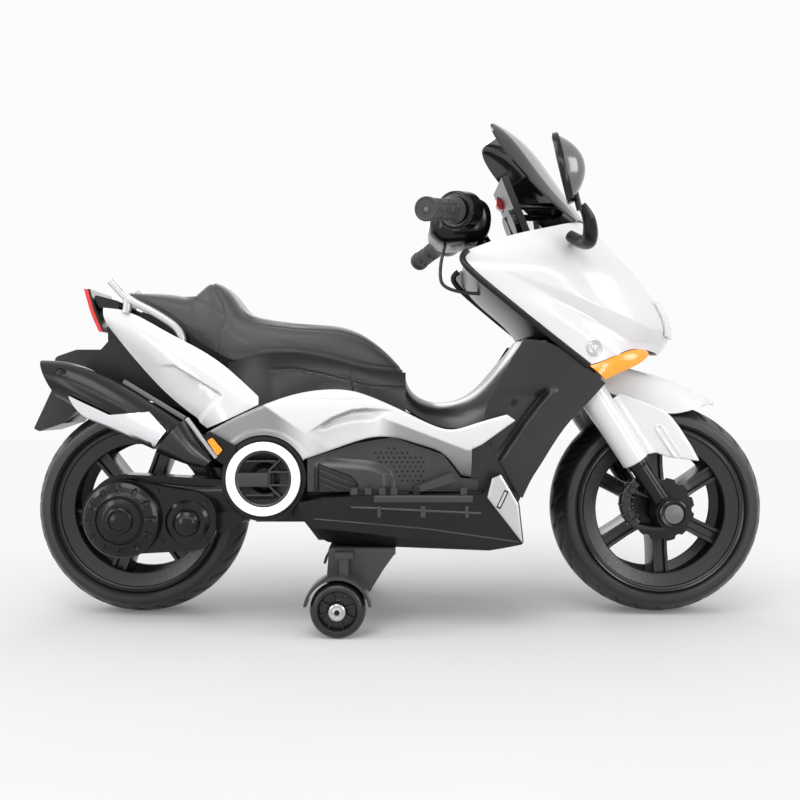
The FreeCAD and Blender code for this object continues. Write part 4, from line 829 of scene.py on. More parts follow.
# %% Side panels
SIDE_OUT = -124
RING_X, RING_Z = -188, 205
ARCH_R = 60.0
SIDE_TOP = spline([(-268, 268), (-225, 291), (-182, 309), (-146, 321), (-106, 327.5), (-67, 326),
                   (-34, 315.5), (7, 297), (45, 279), (69, 273), (100, 280), (147, 293.5)], 90)
SIDE_TOP = np.vstack([SIDE_TOP, (158, 286)])
SIDE_LOW = spline([(-132, 232), (-100, 243), (-60, 257), (-34, 263), (-8, 262), (28, 252), (60, 239),
                   (74, 224), (85, 209)], 60)
SIDE_LOW = np.vstack([[(-268, 266), (-262, 264), (-231, 246), (-150, 205)], SIDE_LOW,
                      [(98.6, 206), (99, 246), (112, 252), (158, 285)]])
KNEE_CREASE = [(-129, 268), (-93, 291), (-67, 301), (-48, 303), (-15, 301)]
FIN_CREASE = [(-25, 291), (92, 246)]
FACET_FROM, FACET_DOWN = (-181, 304), (-0.5696, -0.8228)
FACET_DEEP, FACET_SLOPE = 14, 0.3
RING_LIFT = 2.2
HOLLOW_DEEP, HOLLOW_REACH = 8, 17
FIN_SLOPE = 0.3
GROOVE_Z, GROOVE_DEEP = 314, 0.7


def rear_facet(x, z):
    """How far a point lies behind the slanted line where the rear facet starts."""
    return FACET_DOWN[0] * (x - FACET_FROM[0]) + FACET_DOWN[1] * (z - FACET_FROM[1])


x = np.union1d(np.linspace(-268, 158, 260), (98.6, 99))
arch = RING_Z + np.sqrt(np.maximum(ARCH_R**2 - (x - RING_X) ** 2, 0))
low_z = np.maximum(np.interp(x, SIDE_LOW[:, 0], SIDE_LOW[:, 1]), np.where(arch > RING_Z, arch, 0))
low = np.stack([x, low_z], -1)
x, z = between_lines(low, SIDE_TOP, x, 46)
rear_fall = np.maximum(rear_facet(x, z), 0)
ring_off = np.hypot(x - RING_X, z - RING_Z)
knee = -beside(x, z, KNEE_CREASE)
fin = -beside(x, z, FIN_CREASE)
depth = FACET_DEEP * np.tanh(FACET_SLOPE * rear_fall / FACET_DEEP)
depth -= RING_LIFT * rise(70 - ring_off, 0, 5) * rise(rear_fall, 2, 14)
hollow = HOLLOW_DEEP * rise(knee, 0, 3) * np.exp(-np.maximum(knee, 0) / HOLLOW_REACH)
depth += hollow * rise(x, -131, -100) * (1 - rise(x, -45, -5))
depth += FIN_SLOPE * np.maximum(fin, 0) * rise(x, -34, 16)
groove = GROOVE_DEEP * np.exp(-(((z - GROOVE_Z) / 0.9) ** 2))
depth += groove * rise(x, -138, -126) * (1 - rise(x, -62, -50))
depth += rolled(x, z, low, SIDE_TOP, 1.6, 1.2)
fall = 9 * ((z - 265) / 65) ** 2 + 5 * ((x + 50) / 220) ** 2
side = np.stack([x, SIDE_OUT + fall + depth, z], -1)
side_shields = piece("side_shields", both_sides(walled(side, side + (0, PLATE, 0))), side_white, "chassis",
                     ["side_panels"], 20)

# %% [markdown]
# ## Side panels: painted shade on facets
# Three facets get painted shade, a darker tone of the white where the panel turns away from the light. Each
# point of the panel keeps how far it lies in one of them, and the finish mixes its two colours by that
# number.


# %% Side panels: painted shade on facets
def write_painted_shade(obj, shade):
    """Writes how much painted shade each point gets, 0 to 1, from its place in the side view."""
    place = np.empty(len(obj.data.vertices) * 3)
    obj.data.vertices.foreach_get("co", place)
    x, z = place.reshape(-1, 3).T[[0, 2]] / MM
    share = np.clip(shade(x, z), 0, 1).astype(np.float32)
    layer = obj.data.attributes.new("facet", "FLOAT", "POINT")
    layer.data.foreach_set("value", share)
    print("points with some painted_shade:", int((share > 0).sum()))


def painted_facet_shade(x, z):
    """Painted shade: the rear facet, fading along the ring, the fin's lower side, and the hollow below the
    knee.
    """
    rear = rise(rear_facet(x, z), 0, 3) * (1 - rise(x, -175, -120))
    fin = rise(-beside(x, z, FIN_CREASE), 0, 3) * rise(x, -40, 0) * 0.8
    knee = -beside(x, z, KNEE_CREASE)
    hollow = rise(knee, 0, 3) * np.exp(-np.maximum(knee, 0) / 24) * rise(x, -131, -100)
    hollow *= (1 - rise(x, -60, -10)) * 0.85
    return np.maximum.reduce([0.9 * rear, fin, hollow])


# The side panels get painted shade on their facets and in the hollow below the knee.
write_painted_shade(side_shields, painted_facet_shade)

# %% [markdown]
# ## Tail panels
# The tail sweeps up from the side panel to the grab rail. A scoop is pressed into its lower half, deepest
# at a corner near the side panel and running out towards the rear.

# %% Tail panels
TAIL = np.array([
    [(-46, -60, 446), (-5, -68, 438), (55, -79, 407), (130, -90, 364), (190, -97, 311)],
    [(-44, -64, 432), (8, -78, 406), (65, -90, 372), (125, -99, 330), (152, -103, 292)],
    [(-33, -60, 412), (0, -68, 374), (35, -76, 337), (75, -85, 300), (110, -92, 274)],
]) + (REAR_X, 0, 0)
SCOOP_CORNER = (-244, 320)
SCOOP_TOP = [(-318, 364), SCOOP_CORNER]
SCOOP_END = np.array((-27, 24)) / 36.1
SCOOP_DEEP = 8

tail = sheet(TAIL, 70, 140)
x, y, z = np.moveaxis(tail, -1, 0)
under = -beside(x, z, SCOOP_TOP)
inside = (x - SCOOP_CORNER[0]) * SCOOP_END[0] + (z - SCOOP_CORNER[1]) * SCOOP_END[1]
run_out = 1 - rise(SCOOP_CORNER[0] - x, 35, 105)
scoop = SCOOP_DEEP * rise(under, 0, 5) * rise(inside, 0, 12) * run_out
tail = pressed_in(tail, scoop)
piece("tail_shields", both_sides(shell(tail, PLATE, (-310, 0, 360))), body_white, "chassis",
      ["tail_panels"], 24)

# %% [markdown]
# ## Front fender
# The fender is a beak over the tyre. Its net of points is given up to the middle plane and carried on to
# the other side.

# %% Front fender
FENDER = np.array([
    [(-92, -61, 328), (-88, -43, 370), (-86, 0, 379)],
    [(-48, -61, 312), (-42, -42, 352), (-40, 0, 361)],
    [(-8, -61, 297), (0, -44, 338), (2, 0, 350)],
    [(26, -59, 296), (44, -42, 322), (46, 0, 332)],
    [(56, -48, 303), (68, -34, 314), (72, 0, 321)],
    [(83, -22, 308), (86, -14, 310), (88, 0, 311)],
]) + (FRONT_X, 0, 0)


def across_middle(rows):
    """Rows that end on the middle plane, carried on to the other side."""
    return np.concatenate([rows, rows[:, -2::-1] * (1, -1, 1)], 1)


fender = sheet(across_middle(FENDER), 70, 90)
piece("fender", shell(fender, PLATE, (FRONT_X, 0, AXLE_Z)), body_white, "steering",
      ["front_fender"], 40)

# %% [markdown]
# ## Fork covers
# Each fork leg carries a white sleeve with a flat blade in front of it, stiffened by a raised rib. The
# blade is a height map again, drawn in the leaning frame of the fork.

# %% Fork covers
RAKE_UP = np.array([-0.5446, 0, 0.8387])
RAKE_AHEAD = np.array([0.8387, 0, 0.5446])
LEG_Y = -82
SLEEVE = [(86, 13.4), (86, 18), (87.5, 19.4), (120, 19.6), (175, 20.4), (202, 21), (204, 19.5),
          (204, 13.4), (86, 13.4)]
BLADE_FRONT = np.array([(38, 76.5), (60, 78.5), (92, 78.5), (110, 77), (123, 74), (150, 56), (173, 38),
                        (178, 34)])
BLADE_REAR = np.array([(38, 74), (52, 58), (66, 41), (80, 31), (86, 18), (90, 8), (178, 8)])
BLADE_Y, BLADE_BACK_Y = -80.2, -76.0
RIB_UP, RIB_AHEAD, RIB_HALF = 83, 53, 24
RIB_HIGH, RIB_HOLLOW = 2.4, 1.2
SLEEVE_STEP = 5


def steered(ahead, y, up):
    """Points in the frame of the fork: ahead of the leg, along Y, and up the leg from the axle."""
    ahead, y, up = np.broadcast_arrays(ahead, y, up)
    place = ahead[..., None] * RAKE_AHEAD + up[..., None] * RAKE_UP + y[..., None] * np.array([0, 1, 0])
    return place + (FRONT_X, 0, AXLE_Z)


up = np.linspace(38, 178, 110)[:, None]
front = np.interp(up, BLADE_FRONT[:, 0], BLADE_FRONT[:, 1])
rear = np.interp(up, BLADE_REAR[:, 0], BLADE_REAR[:, 1])
ahead = rear + (front - rear) * np.linspace(0, 1, 60)
rib = np.hypot(np.maximum(np.abs(up - RIB_UP) - RIB_HALF, 0), ahead - RIB_AHEAD)
out = RIB_HIGH * rise(6.5 - rib, 0, 1.6) - RIB_HOLLOW * rise(3.4 - rib, 0, 1.2)
out += SLEEVE_STEP * (1 - rise(ahead, 24, 29))
out = out - 1.8 * np.exp(-(front - ahead) / 1.2) - 1.5 * np.exp(-(ahead - rear) / 1.2)
blade = steered(ahead, BLADE_Y - out, np.broadcast_to(up, ahead.shape))
blade_back = steered(ahead, BLADE_BACK_Y, np.broadcast_to(up, ahead.shape))
sleeve = lathe(SLEEVE, steered(0, LEG_Y, 0), RAKE_UP, 72)
piece("fork_shields", both_sides([sleeve] + walled(blade, blade_back)), body_white, "steering",
      ["fork_covers"], 30)

# %% [markdown]
# ## Seat
# The cushion is moulded foam under a vinyl cover, with a step in front of the passenger's place. Its loft
# follows a list of stations (place, half width, bottom, top); each section is a flattened oval. A short
# cloth run under pressure puffs the cover, and the seams are pressed in afterwards.

# %% Seat
SEAT = [(-402, 42, 462, 471), (-365, 54, 446, 469), (-328, 56, 424, 466), (-300, 58, 404, 467),
        (-273, 68, 388, 485), (-247, 78, 374, 468), (-224, 84, 370, 441), (-189, 88, 376, 429),
        (-150, 88, 377, 424), (-107, 84, 370, 421), (-70, 76, 360, 415), (-40, 66, 354, 399),
        (-14, 50, 352, 377), (3, 34, 351, 358)]
SEAT_ALONG, SEAT_AROUND = 170, 90
SIDE_POWER, TOP_POWER = 0.42, 0.78
FOOT_TUCK = 0.07
ROUND_OFF = (1, 0, 0)


def seat_sections():
    """Flattened ovals: sideways by a low power of the cosine, upwards by a higher power of the sine."""
    x, half, low, high = np.moveaxis(spline(SEAT, SEAT_ALONG), -1, 0)[..., None]
    turn = np.linspace(0, np.pi, SEAT_AROUND)
    side, lift = np.cos(turn), np.sin(turn) ** TOP_POWER
    wide = -np.sign(side) * np.abs(side) ** SIDE_POWER * (1 - FOOT_TUCK * (1 - lift) ** 3)
    x = np.broadcast_to(x, (SEAT_ALONG, SEAT_AROUND))
    return np.stack([x, half * wide, low + (high - low) * lift], -1)


sections = capped(seat_sections(), ROUND_OFF)
seat = piece("seat", [sections, np.stack([sections[:, 0], sections[:, -1]])], seat_vinyl, "chassis",
             ["seat_cushion"], 50)

# %% [markdown]
# ## Seat: air and seams
# Cloth under pressure swells between the places that hold it, as a stuffed cover does. Its rim is held,
# and no point may move more than a small cap, so the cushion keeps its measured outline. Seams are grooves
# along four kinds of line.

# %% Seat: air and seams
CROSS_SEAM = np.array([(371, -263), (403, -258), (430, -246), (452, -252), (470, -263), (484, -274)])
HUMP_SEAM = np.array([(430, -246), (446, -268), (464, -300)])
PUFF_CAP = 2.0
PUFF_FRAMES = 14
PUFF_PRESSURE = 4
HELD_RIM = 4


def puff(obj, pressure, held):
    """Blows the cover up a little with cloth under pressure, then keeps each point within the cap."""
    mesh = obj.data
    before = np.empty(len(mesh.vertices) * 3)
    mesh.vertices.foreach_get("co", before)
    before = before.reshape(-1, 3)
    rim = obj.vertex_groups.new(name="held")
    rim.add(np.flatnonzero(held(before)).tolist(), 1.0, "REPLACE")
    cloth = obj.modifiers.new("puff", "CLOTH")
    cloth.settings.use_pressure = True
    cloth.settings.uniform_pressure_force = pressure
    cloth.settings.effector_weights.gravity = 0
    cloth.settings.vertex_group_mass = "held"
    cloth.settings.tension_stiffness = 30
    cloth.settings.compression_stiffness = 30
    scene = bpy.context.scene
    for frame_number in range(1, PUFF_FRAMES + 1):
        scene.frame_set(frame_number)
    shaped = obj.evaluated_get(bpy.context.evaluated_depsgraph_get())
    after = np.empty(len(mesh.vertices) * 3)
    shaped.data.vertices.foreach_get("co", after)
    obj.modifiers.remove(cloth)
    scene.frame_set(1)
    moved = after.reshape(-1, 3) - before
    far = np.linalg.norm(moved, axis=1, keepdims=True)
    moved *= np.minimum(1, PUFF_CAP * MM / np.maximum(far, 1e-9))
    mesh.vertices.foreach_set("co", (before + moved).ravel())
    mesh.update()
    print("puffed by up to", round(float(far.max()) * 1000, 1), "mm before the cap")


def stitched(obj):
    """Presses the seams in: across at the step, on the hump, along the top's edges and round the foot."""
    mesh = obj.data
    place = np.empty(len(mesh.vertices) * 3)
    out = np.empty(len(mesh.vertices) * 3)
    mesh.vertices.foreach_get("co", place)
    mesh.vertex_normals.foreach_get("vector", out)
    x, y, z = place.reshape(-1, 3).T / MM
    stations = np.array(SEAT)
    half, low, high = [np.interp(x, stations[:, 0], stations[:, k]) for k in (1, 2, 3)]
    cross_x = np.interp(z, CROSS_SEAM[:, 0], CROSS_SEAM[:, 1])
    hump_x = np.interp(z, HUMP_SEAM[:, 0], HUMP_SEAM[:, 1])
    across = np.exp(-(((x - cross_x) / 1.6) ** 2)) * rise(z, 376, 382)
    hump = np.exp(-(((x - hump_x) / 1.8) ** 2)) * (z > 430) * (z < 470)
    along = np.exp(-(((np.abs(y) - 0.80 * half) / 1.5) ** 2)) * rise(z, high - 16, high - 8)
    along *= rise(x, -240, -230) * (1 - rise(x, -40, -20))
    foot = np.exp(-(((z - low - 9) / 1.2) ** 2))
    depth = np.maximum.reduce([2.2 * across, 2.0 * hump, 1.3 * along, 1.0 * foot])
    pressed = place.reshape(-1, 3) - out.reshape(-1, 3) * depth[:, None] * MM
    mesh.vertices.foreach_set("co", pressed.ravel())
    mesh.update()
    print("seams up to", round(float(depth.max()), 1), "mm deep")


def by_the_foot(place):
    """Which points lie close above the foot of the cover, whose height changes along the seat."""
    stations = np.array(SEAT) * MM
    return place[:, 2] < np.interp(place[:, 0], stations[:, 0], stations[:, 2]) + HELD_RIM * MM


puff(seat, PUFF_PRESSURE, by_the_foot)
stitched(seat)

# %% [markdown]
# ## Panels under the seat
# A black panel closes the gap between the cushion and the white side panel. It leans outwards towards its
# foot.

# %% Panels under the seat
PAN_TOP = np.array([(-244, 366), (-223, 371), (-182, 378), (-150, 379), (-109, 372), (-66, 361),
                    (-42, 355), (8, 352)])
PAN_LAP = 16
PAN_LOW = np.stack([SIDE_TOP[:, 0], SIDE_TOP[:, 1] - PAN_LAP], -1)
PAN_HALF, PAN_FLARE, PAN_TUCK = 91, 16, 8
PAN_GROOVE = 0.7
x, z = between_lines(PAN_LOW, PAN_TOP, np.linspace(-242, 8, 130), 40)
share = np.linspace(1, 0, 40)[:, None]
wide = PAN_HALF + PAN_FLARE * share**1.6 - PAN_TUCK * rise(-x, 170, 240)
wide -= PAN_GROOVE * np.exp(-((x + 64 + 0.25 * (z - 330)) ** 2))
below_top = z - np.interp(x, PAN_TOP[:, 0], PAN_TOP[:, 1])
wide -= PAN_GROOVE * np.exp(-((below_top + 22) ** 2)) * rise(x, -190, -170)
pan = np.stack([x, -wide, z], -1)
piece("seat_base", both_sides(walled(pan, pan + (0, PLATE, 0))), satin_black, "chassis",
      ["seat_pan"], 30)

# %% [markdown]
# ## Lower cowls
# Below the white nose a black skirt narrows towards the footboard. A sharp streak runs down its middle;
# the surface just behind it is pressed in, so the streak shows as a bright edge, and comes out again
# further back.

# %% Lower cowls
LOWER_COWL = np.array([
    [(-208, -4, 398), (-164, -9, 388), (-96, -8, 337)],
    [(-230, -4, 362), (-180, -7, 343), (-124, -7, 306)],
    [(-252, -5, 322), (-200, -7, 303), (-150, -7, 278)],
    [(-262, -6, 285), (-215, -8, 262), (-175, -9, 242)],
    [(-254, -7, 252), (-222, -9, 238), (-186, -9, 224)],
    [(-238, -8, 222), (-218, -9, 214), (-198, -9, 205)],
    [(-222, -8, 187), (-217, -9, 183), (-211, -9, 178)],
]) + (FRONT_X, -103, 0)
FOOT_LOW = np.array([(98, 180), (150, 150), (162, 165), (176, 196)])
FOOT_HIGH = np.array([(98, 262), (140, 258), (160, 232), (176, 204)])
VALLEY_DEEP, RIDGE_HIGH = 14, 2.4
STREAK = np.array([(216.8, 132.7), (248.5, 152), (279, 172.8), (306.6, 193.5), (326, 210)])

lower = sheet(LOWER_COWL, 130, 90)
x, z = lower[..., 0], lower[..., 2]
behind = np.interp(z, STREAK[:, 0], STREAK[:, 1]) - x
span = rise(z, 212, 240) * (1 - rise(z, 318, 336))
ridge = np.exp(-(((behind + 3) / 4) ** 2))
hollow = rise(behind, 0, 8) * np.exp(-np.maximum(behind, 0) / 30)
valley = span * (VALLEY_DEEP * hollow - RIDGE_HIGH * ridge)
lower = pressed_in(lower, valley)
foot = plate(FOOT_LOW, FOOT_HIGH, np.linspace(98, 176, 30), 20, -101, PLATE)
skirts = both_sides(shell(lower, PLATE, (190, 0, 310)) + foot)
piece("lower_skirts", skirts, soft_black, "chassis", ["lower_cowls"], 25)

# %% [markdown]
# ## Ring lights
# A white ring lamp sits in a black cup on each flank, with a grille of slim bars in front of a shallow
# cone. Cup and ring are turned; the bars are rounded strips carried along straight lines.

# %% Ring lights
RING_AT = (RING_X, 0, RING_Z)
RING = [(115, 39.3), (122, 39.3), (123.6, 40.8), (124, 43), (124, 47), (123.6, 49.3), (122, 50.8),
        (115, 50.8), (115, 39.3)]
CUP = [(98.5, 0), (98.5, 59), (110, 59.5), (112.5, 58), (113, 53.5), (114.7, 52.5), (114.7, 39),
       (113.5, 38), (105, 36.5), (102, 22), (105, 16), (107, 14), (107.5, 0)]
BARS = [(-25, 24.2, 17.5, 24.2), (-24, -23, 13.5, -23), (7.4, 9.2, 35.5, 9.2), (7.4, -9, 35.5, -9),
        (7.4, 11, 7.4, -11), (7.4, 11, 24.3, 28), (8, -11, 25.5, -27)]
BLOCK = (-36.5, -1.4, 6, -1.4)
BARS_OUT = 110.5
INNER_RING = [(112, 35.6), (112, 38.2), (116.5, 38.2), (117.3, 37), (116.5, 35.6), (112, 35.6)]
BASE_LOW = np.array([(-272, 256), (-256, 234), (-240, 222), (-226, 214)])
BASE_HIGH = np.array([(-272, 264), (-262, 270), (-226, 250)])


def ring_bar(x_from, z_from, x_to, z_to, wide, deep, out):
    """A strip on the ring's face between two points measured from the ring's middle."""
    ends = np.array([(x_from, 0, z_from), (x_to, 0, z_to)]) + (RING_X, -out, RING_Z)
    return strip(wide, deep, 0.7, ends, 6)


piece("ring_lamps", both_sides([lathe(RING, RING_AT, steps=144)]), ring_white, "chassis",
      ["ring_lights"], 50)
piece("ring_cups", both_sides([lathe(CUP, RING_AT, steps=144)]), grille_black, "chassis",
      ["ring_grilles"])
base = plate(BASE_LOW, BASE_HIGH, np.linspace(-272, -226, 24), 16, -116, 8)
piece("reflector_bases", both_sides(base), satin_black, "chassis", (), 30)
bars = [ring_bar(*bar, 2.6, 9, BARS_OUT) for bar in BARS]
bars.append(ring_bar(*BLOCK, 19, 12, BARS_OUT))
bars.append(lathe(INNER_RING, RING_AT, steps=120))
piece("ring_bars", both_sides(bars), vent_grey, "chassis", (), 25)

# %% [markdown]
# ## Side vents
# Beside the footrest a black panel carries an air scoop with slanted louvres and a field of small holes.
# The scoop is a swelling height map with a corner pressed in for the louvres; the holes are shown as small
# dark discs, painted shade with no opening behind them.

# %% Side vents
VENT_OUT = -110
VENT_TOP = np.array([(-128, 232), (-60, 254), (-10, 262), (60, 238), (84, 206), (108, 203)])
SCOOP_LINE = spline([(-119, 229), (-108, 233), (-75, 233), (-41, 230), (-25, 225), (-12.5, 215), (-7, 204),
                     (-6, 190)], 60)
LOUVRE_EDGE = [(-112, 226), (-66, 209), (-58, 199), (-57, 188)]
LOUVRES = [(-111, 217, -63, 197), (-111, 208, -70, 191), (-111, 199, -84, 188)]
VENT_FOOT = np.array([(-128, 187), (108, 187)])
SCOOP_FOOT = np.array([(-119, 188), (-6, 188)])
SCOOP_HIGH = 9
HOLE_X, HOLE_Z = -34, 202
HOLE_PITCH, HOLE_ROW = 7.4, 6.4
HOLE_ROWS, HOLE_COLUMNS = 9, 10
HOLES_END, HOLES_BELOW, HOLES_BESIDE = 34, 14, 4
HOLE = [(-VENT_OUT - 2, 0), (-VENT_OUT - 2, 1.7), (-VENT_OUT + 0.2, 1.7), (-VENT_OUT + 0.1, 0)]

x, z = between_lines(SCOOP_FOOT, SCOOP_LINE, np.linspace(-119, -6.2, 130), 70)
top = np.interp(x, SCOOP_LINE[:, 0], SCOOP_LINE[:, 1])
swell = np.minimum(rise(top - z, -2, 15), rise(-6 - x, -4, 22)) * rise(x, -122, -110)
mouth = rise(-beside(x, z, LOUVRE_EDGE), 0, 2.5) * rise(-57 - x, 0, 2.5) * rise(x, -114, -111)
scoop_face = np.stack([x, VENT_OUT + 0.5 - SCOOP_HIGH * swell + SCOOP_HIGH * mouth, z], -1)
scoop_back = np.stack([x, np.full(x.shape, VENT_OUT + 2), z], -1)
grids = plate(VENT_FOOT, VENT_TOP, np.linspace(-128, 108, 60), 20, VENT_OUT, 4)
grids = grids + walled(scoop_face, scoop_back)
for x_from, z_from, x_to, z_to in LOUVRES:
    ends = [(x_from, VENT_OUT - 4.5, z_from), (x_to, VENT_OUT - 4.5, z_to)]
    grids.append(strip(2.4, 7, 0.8, ends, 6))
piece("flank_vents", both_sides(grids), vent_grey, "chassis", ["side_vents"], 28)

# Painted shade: each hole is a flat dark disc on the panel.
hole_shades = []
for row in range(HOLE_ROWS):
    for column in range(HOLE_COLUMNS):
        hole_x = HOLE_X + HOLE_PITCH * column + HOLE_PITCH / 2 * (row % 2)
        hole_z = HOLE_Z + HOLE_ROW * row
        top = np.interp(hole_x, VENT_TOP[:, 0], VENT_TOP[:, 1]) - HOLES_BELOW
        rear = np.interp(-hole_z, -SCOOP_LINE[:, 1], SCOOP_LINE[:, 0]) + HOLES_BESIDE
        if hole_z < top and rear < hole_x < HOLES_END:
            hole_shades.append(lathe(HOLE, (hole_x, 0, hole_z), steps=12))
piece("vent_holes", both_sides(hole_shades), grille_black, "chassis", (), 50)

# %% [markdown]
# ## Footboard trim
# The edge of the footboard has a stepped band under the mat, a slim rod held by three clips, and a pale
# end cap with a slot in it.

# %% Footboard trim
BOARD_OUT = -142
ROD_OUT = BOARD_OUT - 1
CLIPS = [(-28, 5), (31, 7), (90, 5)]
BLOCKS = [-62, -43, -24, -8, 86]
CREASE = [(-116, 153), (35, 140), (160, 122)]
TIP_REAR = [(124, 208), (117.5, 182), (164.6, 121.5)]
TIP_FRONT = [(136, 213), (159.5, 173), (165, 121.5)]
SLOT_AT, SLOT_ALONG = np.array((137.7, 179.8)), np.array((0.43, 0.90))

trim = [strip(9.5, 4, 1.2, [(-35, BOARD_OUT, 180), (98, BOARD_OUT, 180)], 4)]
trim.append(strip(3.6, 3.6, 1.7, [(-66, ROD_OUT, 169), (109, ROD_OUT, 160.7)], 12))
crease = np.insert(polyline(CREASE, 30), 1, BOARD_OUT, 1)
trim.append(carried(rounded(2.4, 2.4, 1.1), crease, (0, 1, 0)))
for x in BLOCKS:
    inwards = polyline([(x, BOARD_OUT + 2, 190), (x, BOARD_OUT + 20, 190)], 4)
    trim.append(carried(rounded(9, 9, 1.5), inwards, (0, 0, 1)))
for x, wide in CLIPS:
    trim.append(strip(wide, 6, 1.2, [(x, ROD_OUT, 171), (x, ROD_OUT, 155.5)], 4))
piece("board_trim", both_sides(trim), vent_grey, "chassis", (), 30)

share = np.linspace(0, 1, 60)[:, None]
edge_rear, edge_front = polyline(TIP_REAR, 90)[None], polyline(TIP_FRONT, 90)[None]
place = edge_rear + (edge_front - edge_rear) * share[..., None]
edge = np.minimum(np.minimum(share, 1 - share) * np.linalg.norm(edge_front - edge_rear, axis=-1), 30)
drop = 1.6 * np.exp(-edge / 1.3)
tip = np.stack([place[..., 0], BOARD_OUT - 4.4 + drop, place[..., 1]], -1)
tip_back = tip * (1, 0, 1) + (0, BOARD_OUT - 0.3, 0)
piece("end_caps", both_sides(walled(tip, tip_back)), body_silver, "chassis", ["sill_tips"],
      30)


def slot_bar(half, wide, out):
    """A flat strip along the slot, standing out from the end cap."""
    ends = [SLOT_AT - SLOT_ALONG * half, SLOT_AT + SLOT_ALONG * half]
    return strip(wide, 3, 0.8, [(end[0], BOARD_OUT - 3 - out, end[1]) for end in ends], 4)


piece("slot_frames", both_sides([slot_bar(13, 6.6, 0.3)]), grille_black, "chassis", (), 30)
piece("slot_bars", both_sides([slot_bar(10.8, 3.4, 0.7)]), body_silver, "chassis", (), 30)

# %% [markdown]
# ## Drive cover
# The cover of the rear drive ends in a big domed cap with a ring of twelve dimples and a round boss, and a
# smaller dome on a round collar over the motor. Both are turned; the dimples are pressed along the axle.

# %% Drive cover
BIG_CAP = (REAR_X, 0, 150)
SMALL_CAP = (-292, 0, 146)
DOME = [(117, 0), (117, 53.5), (122, 53.5), (125.5, 52.8), (129, 50.6), (132.3, 45), (135, 38),
        (136.4, 33), (134.4, 31.6), (134.4, 29.8), (136.6, 29), (138.2, 23), (138.4, 19), (141.5, 18),
        (143, 16.4), (143, 13.4), (140.6, 12.4), (141.4, 6), (141.6, 0)]
KNOB = [(119, 0), (119, 20), (124, 19.4), (129, 17.4), (133, 13.4), (135.6, 8), (136.4, 0)]
COLLAR = [(117, 0), (117, 30.5), (120.5, 30), (124.5, 25.8), (124.5, 0)]
DIMPLES, DIMPLE_R, DIMPLE_DEEP = 12, 42, 2.2
DIMPLE_LONG, DIMPLE_WIDE = 7.2, 3.4
DIMPLE_TURN = math.radians(3)
DOME_FACE = -124

dome = lathe(polyline(DOME, 150), BIG_CAP, steps=240)
off_x, off_z = dome[..., 0] - BIG_CAP[0], dome[..., 2] - BIG_CAP[2]
radius = np.hypot(off_x, off_z)
step = 2 * np.pi / DIMPLES
arc = ((np.arctan2(off_z, off_x) - DIMPLE_TURN + step / 2) % step - step / 2) * radius
oval = np.hypot((radius - DIMPLE_R) / DIMPLE_LONG, arc / DIMPLE_WIDE)
dome[..., 1] += DIMPLE_DEEP * rise(1 - oval, 0, 0.4) * (dome[..., 1] < DOME_FACE)
piece("drive_dome", [dome], gloss_black, "chassis", (), 30)
piece("drive_knob", [lathe(KNOB, SMALL_CAP), lathe(COLLAR, SMALL_CAP, steps=64)], gloss_black, "chassis",
      (), 25)

# %% [markdown]
# ## Exhaust
# The muffler is a dummy: a tapering oval body, a boot at its lower end, a plug, and a folded chrome
# shield. Ovals are strung along a line of stations; the shield copies the muffler's side with a ridge
# added along its fold.

# %% Exhaust
MUFFLER = [(-491, 368, -464, 314, 25), (-460, 366, -446, 304, 29), (-427, 357, -425, 289, 31),
           (-379, 333, -392, 273, 32), (-340, 309, -360, 258, 30), (-300, 283, -334, 246, 27)]
BOOT = [(-296, 286, -333, 241, 29), (-283, 264, -305, 230, 25), (-269, 245, -284, 223, 17),
        (-258, 231, -268, 221, 9)]
MUFFLER_Y = -119
SMOOTHINGS = 12
PLUG_AT = (-457, 350)
PLUG = [(-3, 0), (-3, 7.4), (0.9, 7.4), (0.9, 6.4), (-0.6, 6.0), (0.7, 5.2), (1.0, 0)]
SHIELD_OFF, FOLD_HIGH, FOLD_REACH = 3.5, 3.5, 22
SHIELD_TOP = np.array([(-443, 319), (-388, 293.5), (-337, 297.5), (-314, 272.5)])
SHIELD_LOW = np.array([(-443, 317), (-439, 305), (-432, 292.5), (-333, 246.5), (-314, 271.5)])
FOLD = [(-443, 314), (-388, 289), (-320, 259)]
TOP_STRIP = [(-381, -112, 339), (-297, -112, 288)]
BOOT_STRIP = [(-294, -114, 288), (-253, -114, 234)]
PIPE = [(-280, -118, 232), (-256, -84, 226), (-234, -62, 222), (-206, -62, 222)]


def ovals(stations):
    """Rings about stations of (top x, top z, bottom x, bottom z, half width)."""
    top_x, top_z, low_x, low_z, wide = np.moveaxis(np.asarray(stations, float), -1, 0)[..., None]
    turn = np.linspace(0, 2 * np.pi, 97)
    share = (1 + np.cos(turn)) / 2
    x, z = low_x + (top_x - low_x) * share, low_z + (top_z - low_z) * share
    return np.stack([x, MUFFLER_Y - wide * np.sin(turn), z], -1)


def muffler_side(x, z, grow):
    """Y of the muffler's outer side at points of the side view, from the station that passes nearest."""
    top_x, top_z, low_x, low_z, wide = spline(MUFFLER, 1500).T
    half_x, half_z = (top_x - low_x) / 2, (top_z - low_z) / 2
    off_x = np.asarray(x, float)[..., None] - (top_x + low_x) / 2
    off_z = np.asarray(z, float)[..., None] - (top_z + low_z) / 2
    tall = np.hypot(half_x, half_z)
    best = np.abs((off_x * half_z - off_z * half_x) / tall).argmin(-1)
    lift = np.take_along_axis((off_x * half_x + off_z * half_z) / tall, best[..., None], -1)[..., 0]
    return MUFFLER_Y - (wide[best] + grow) * np.sqrt(np.maximum(1 - (lift / (tall[best] + grow)) ** 2, 0))


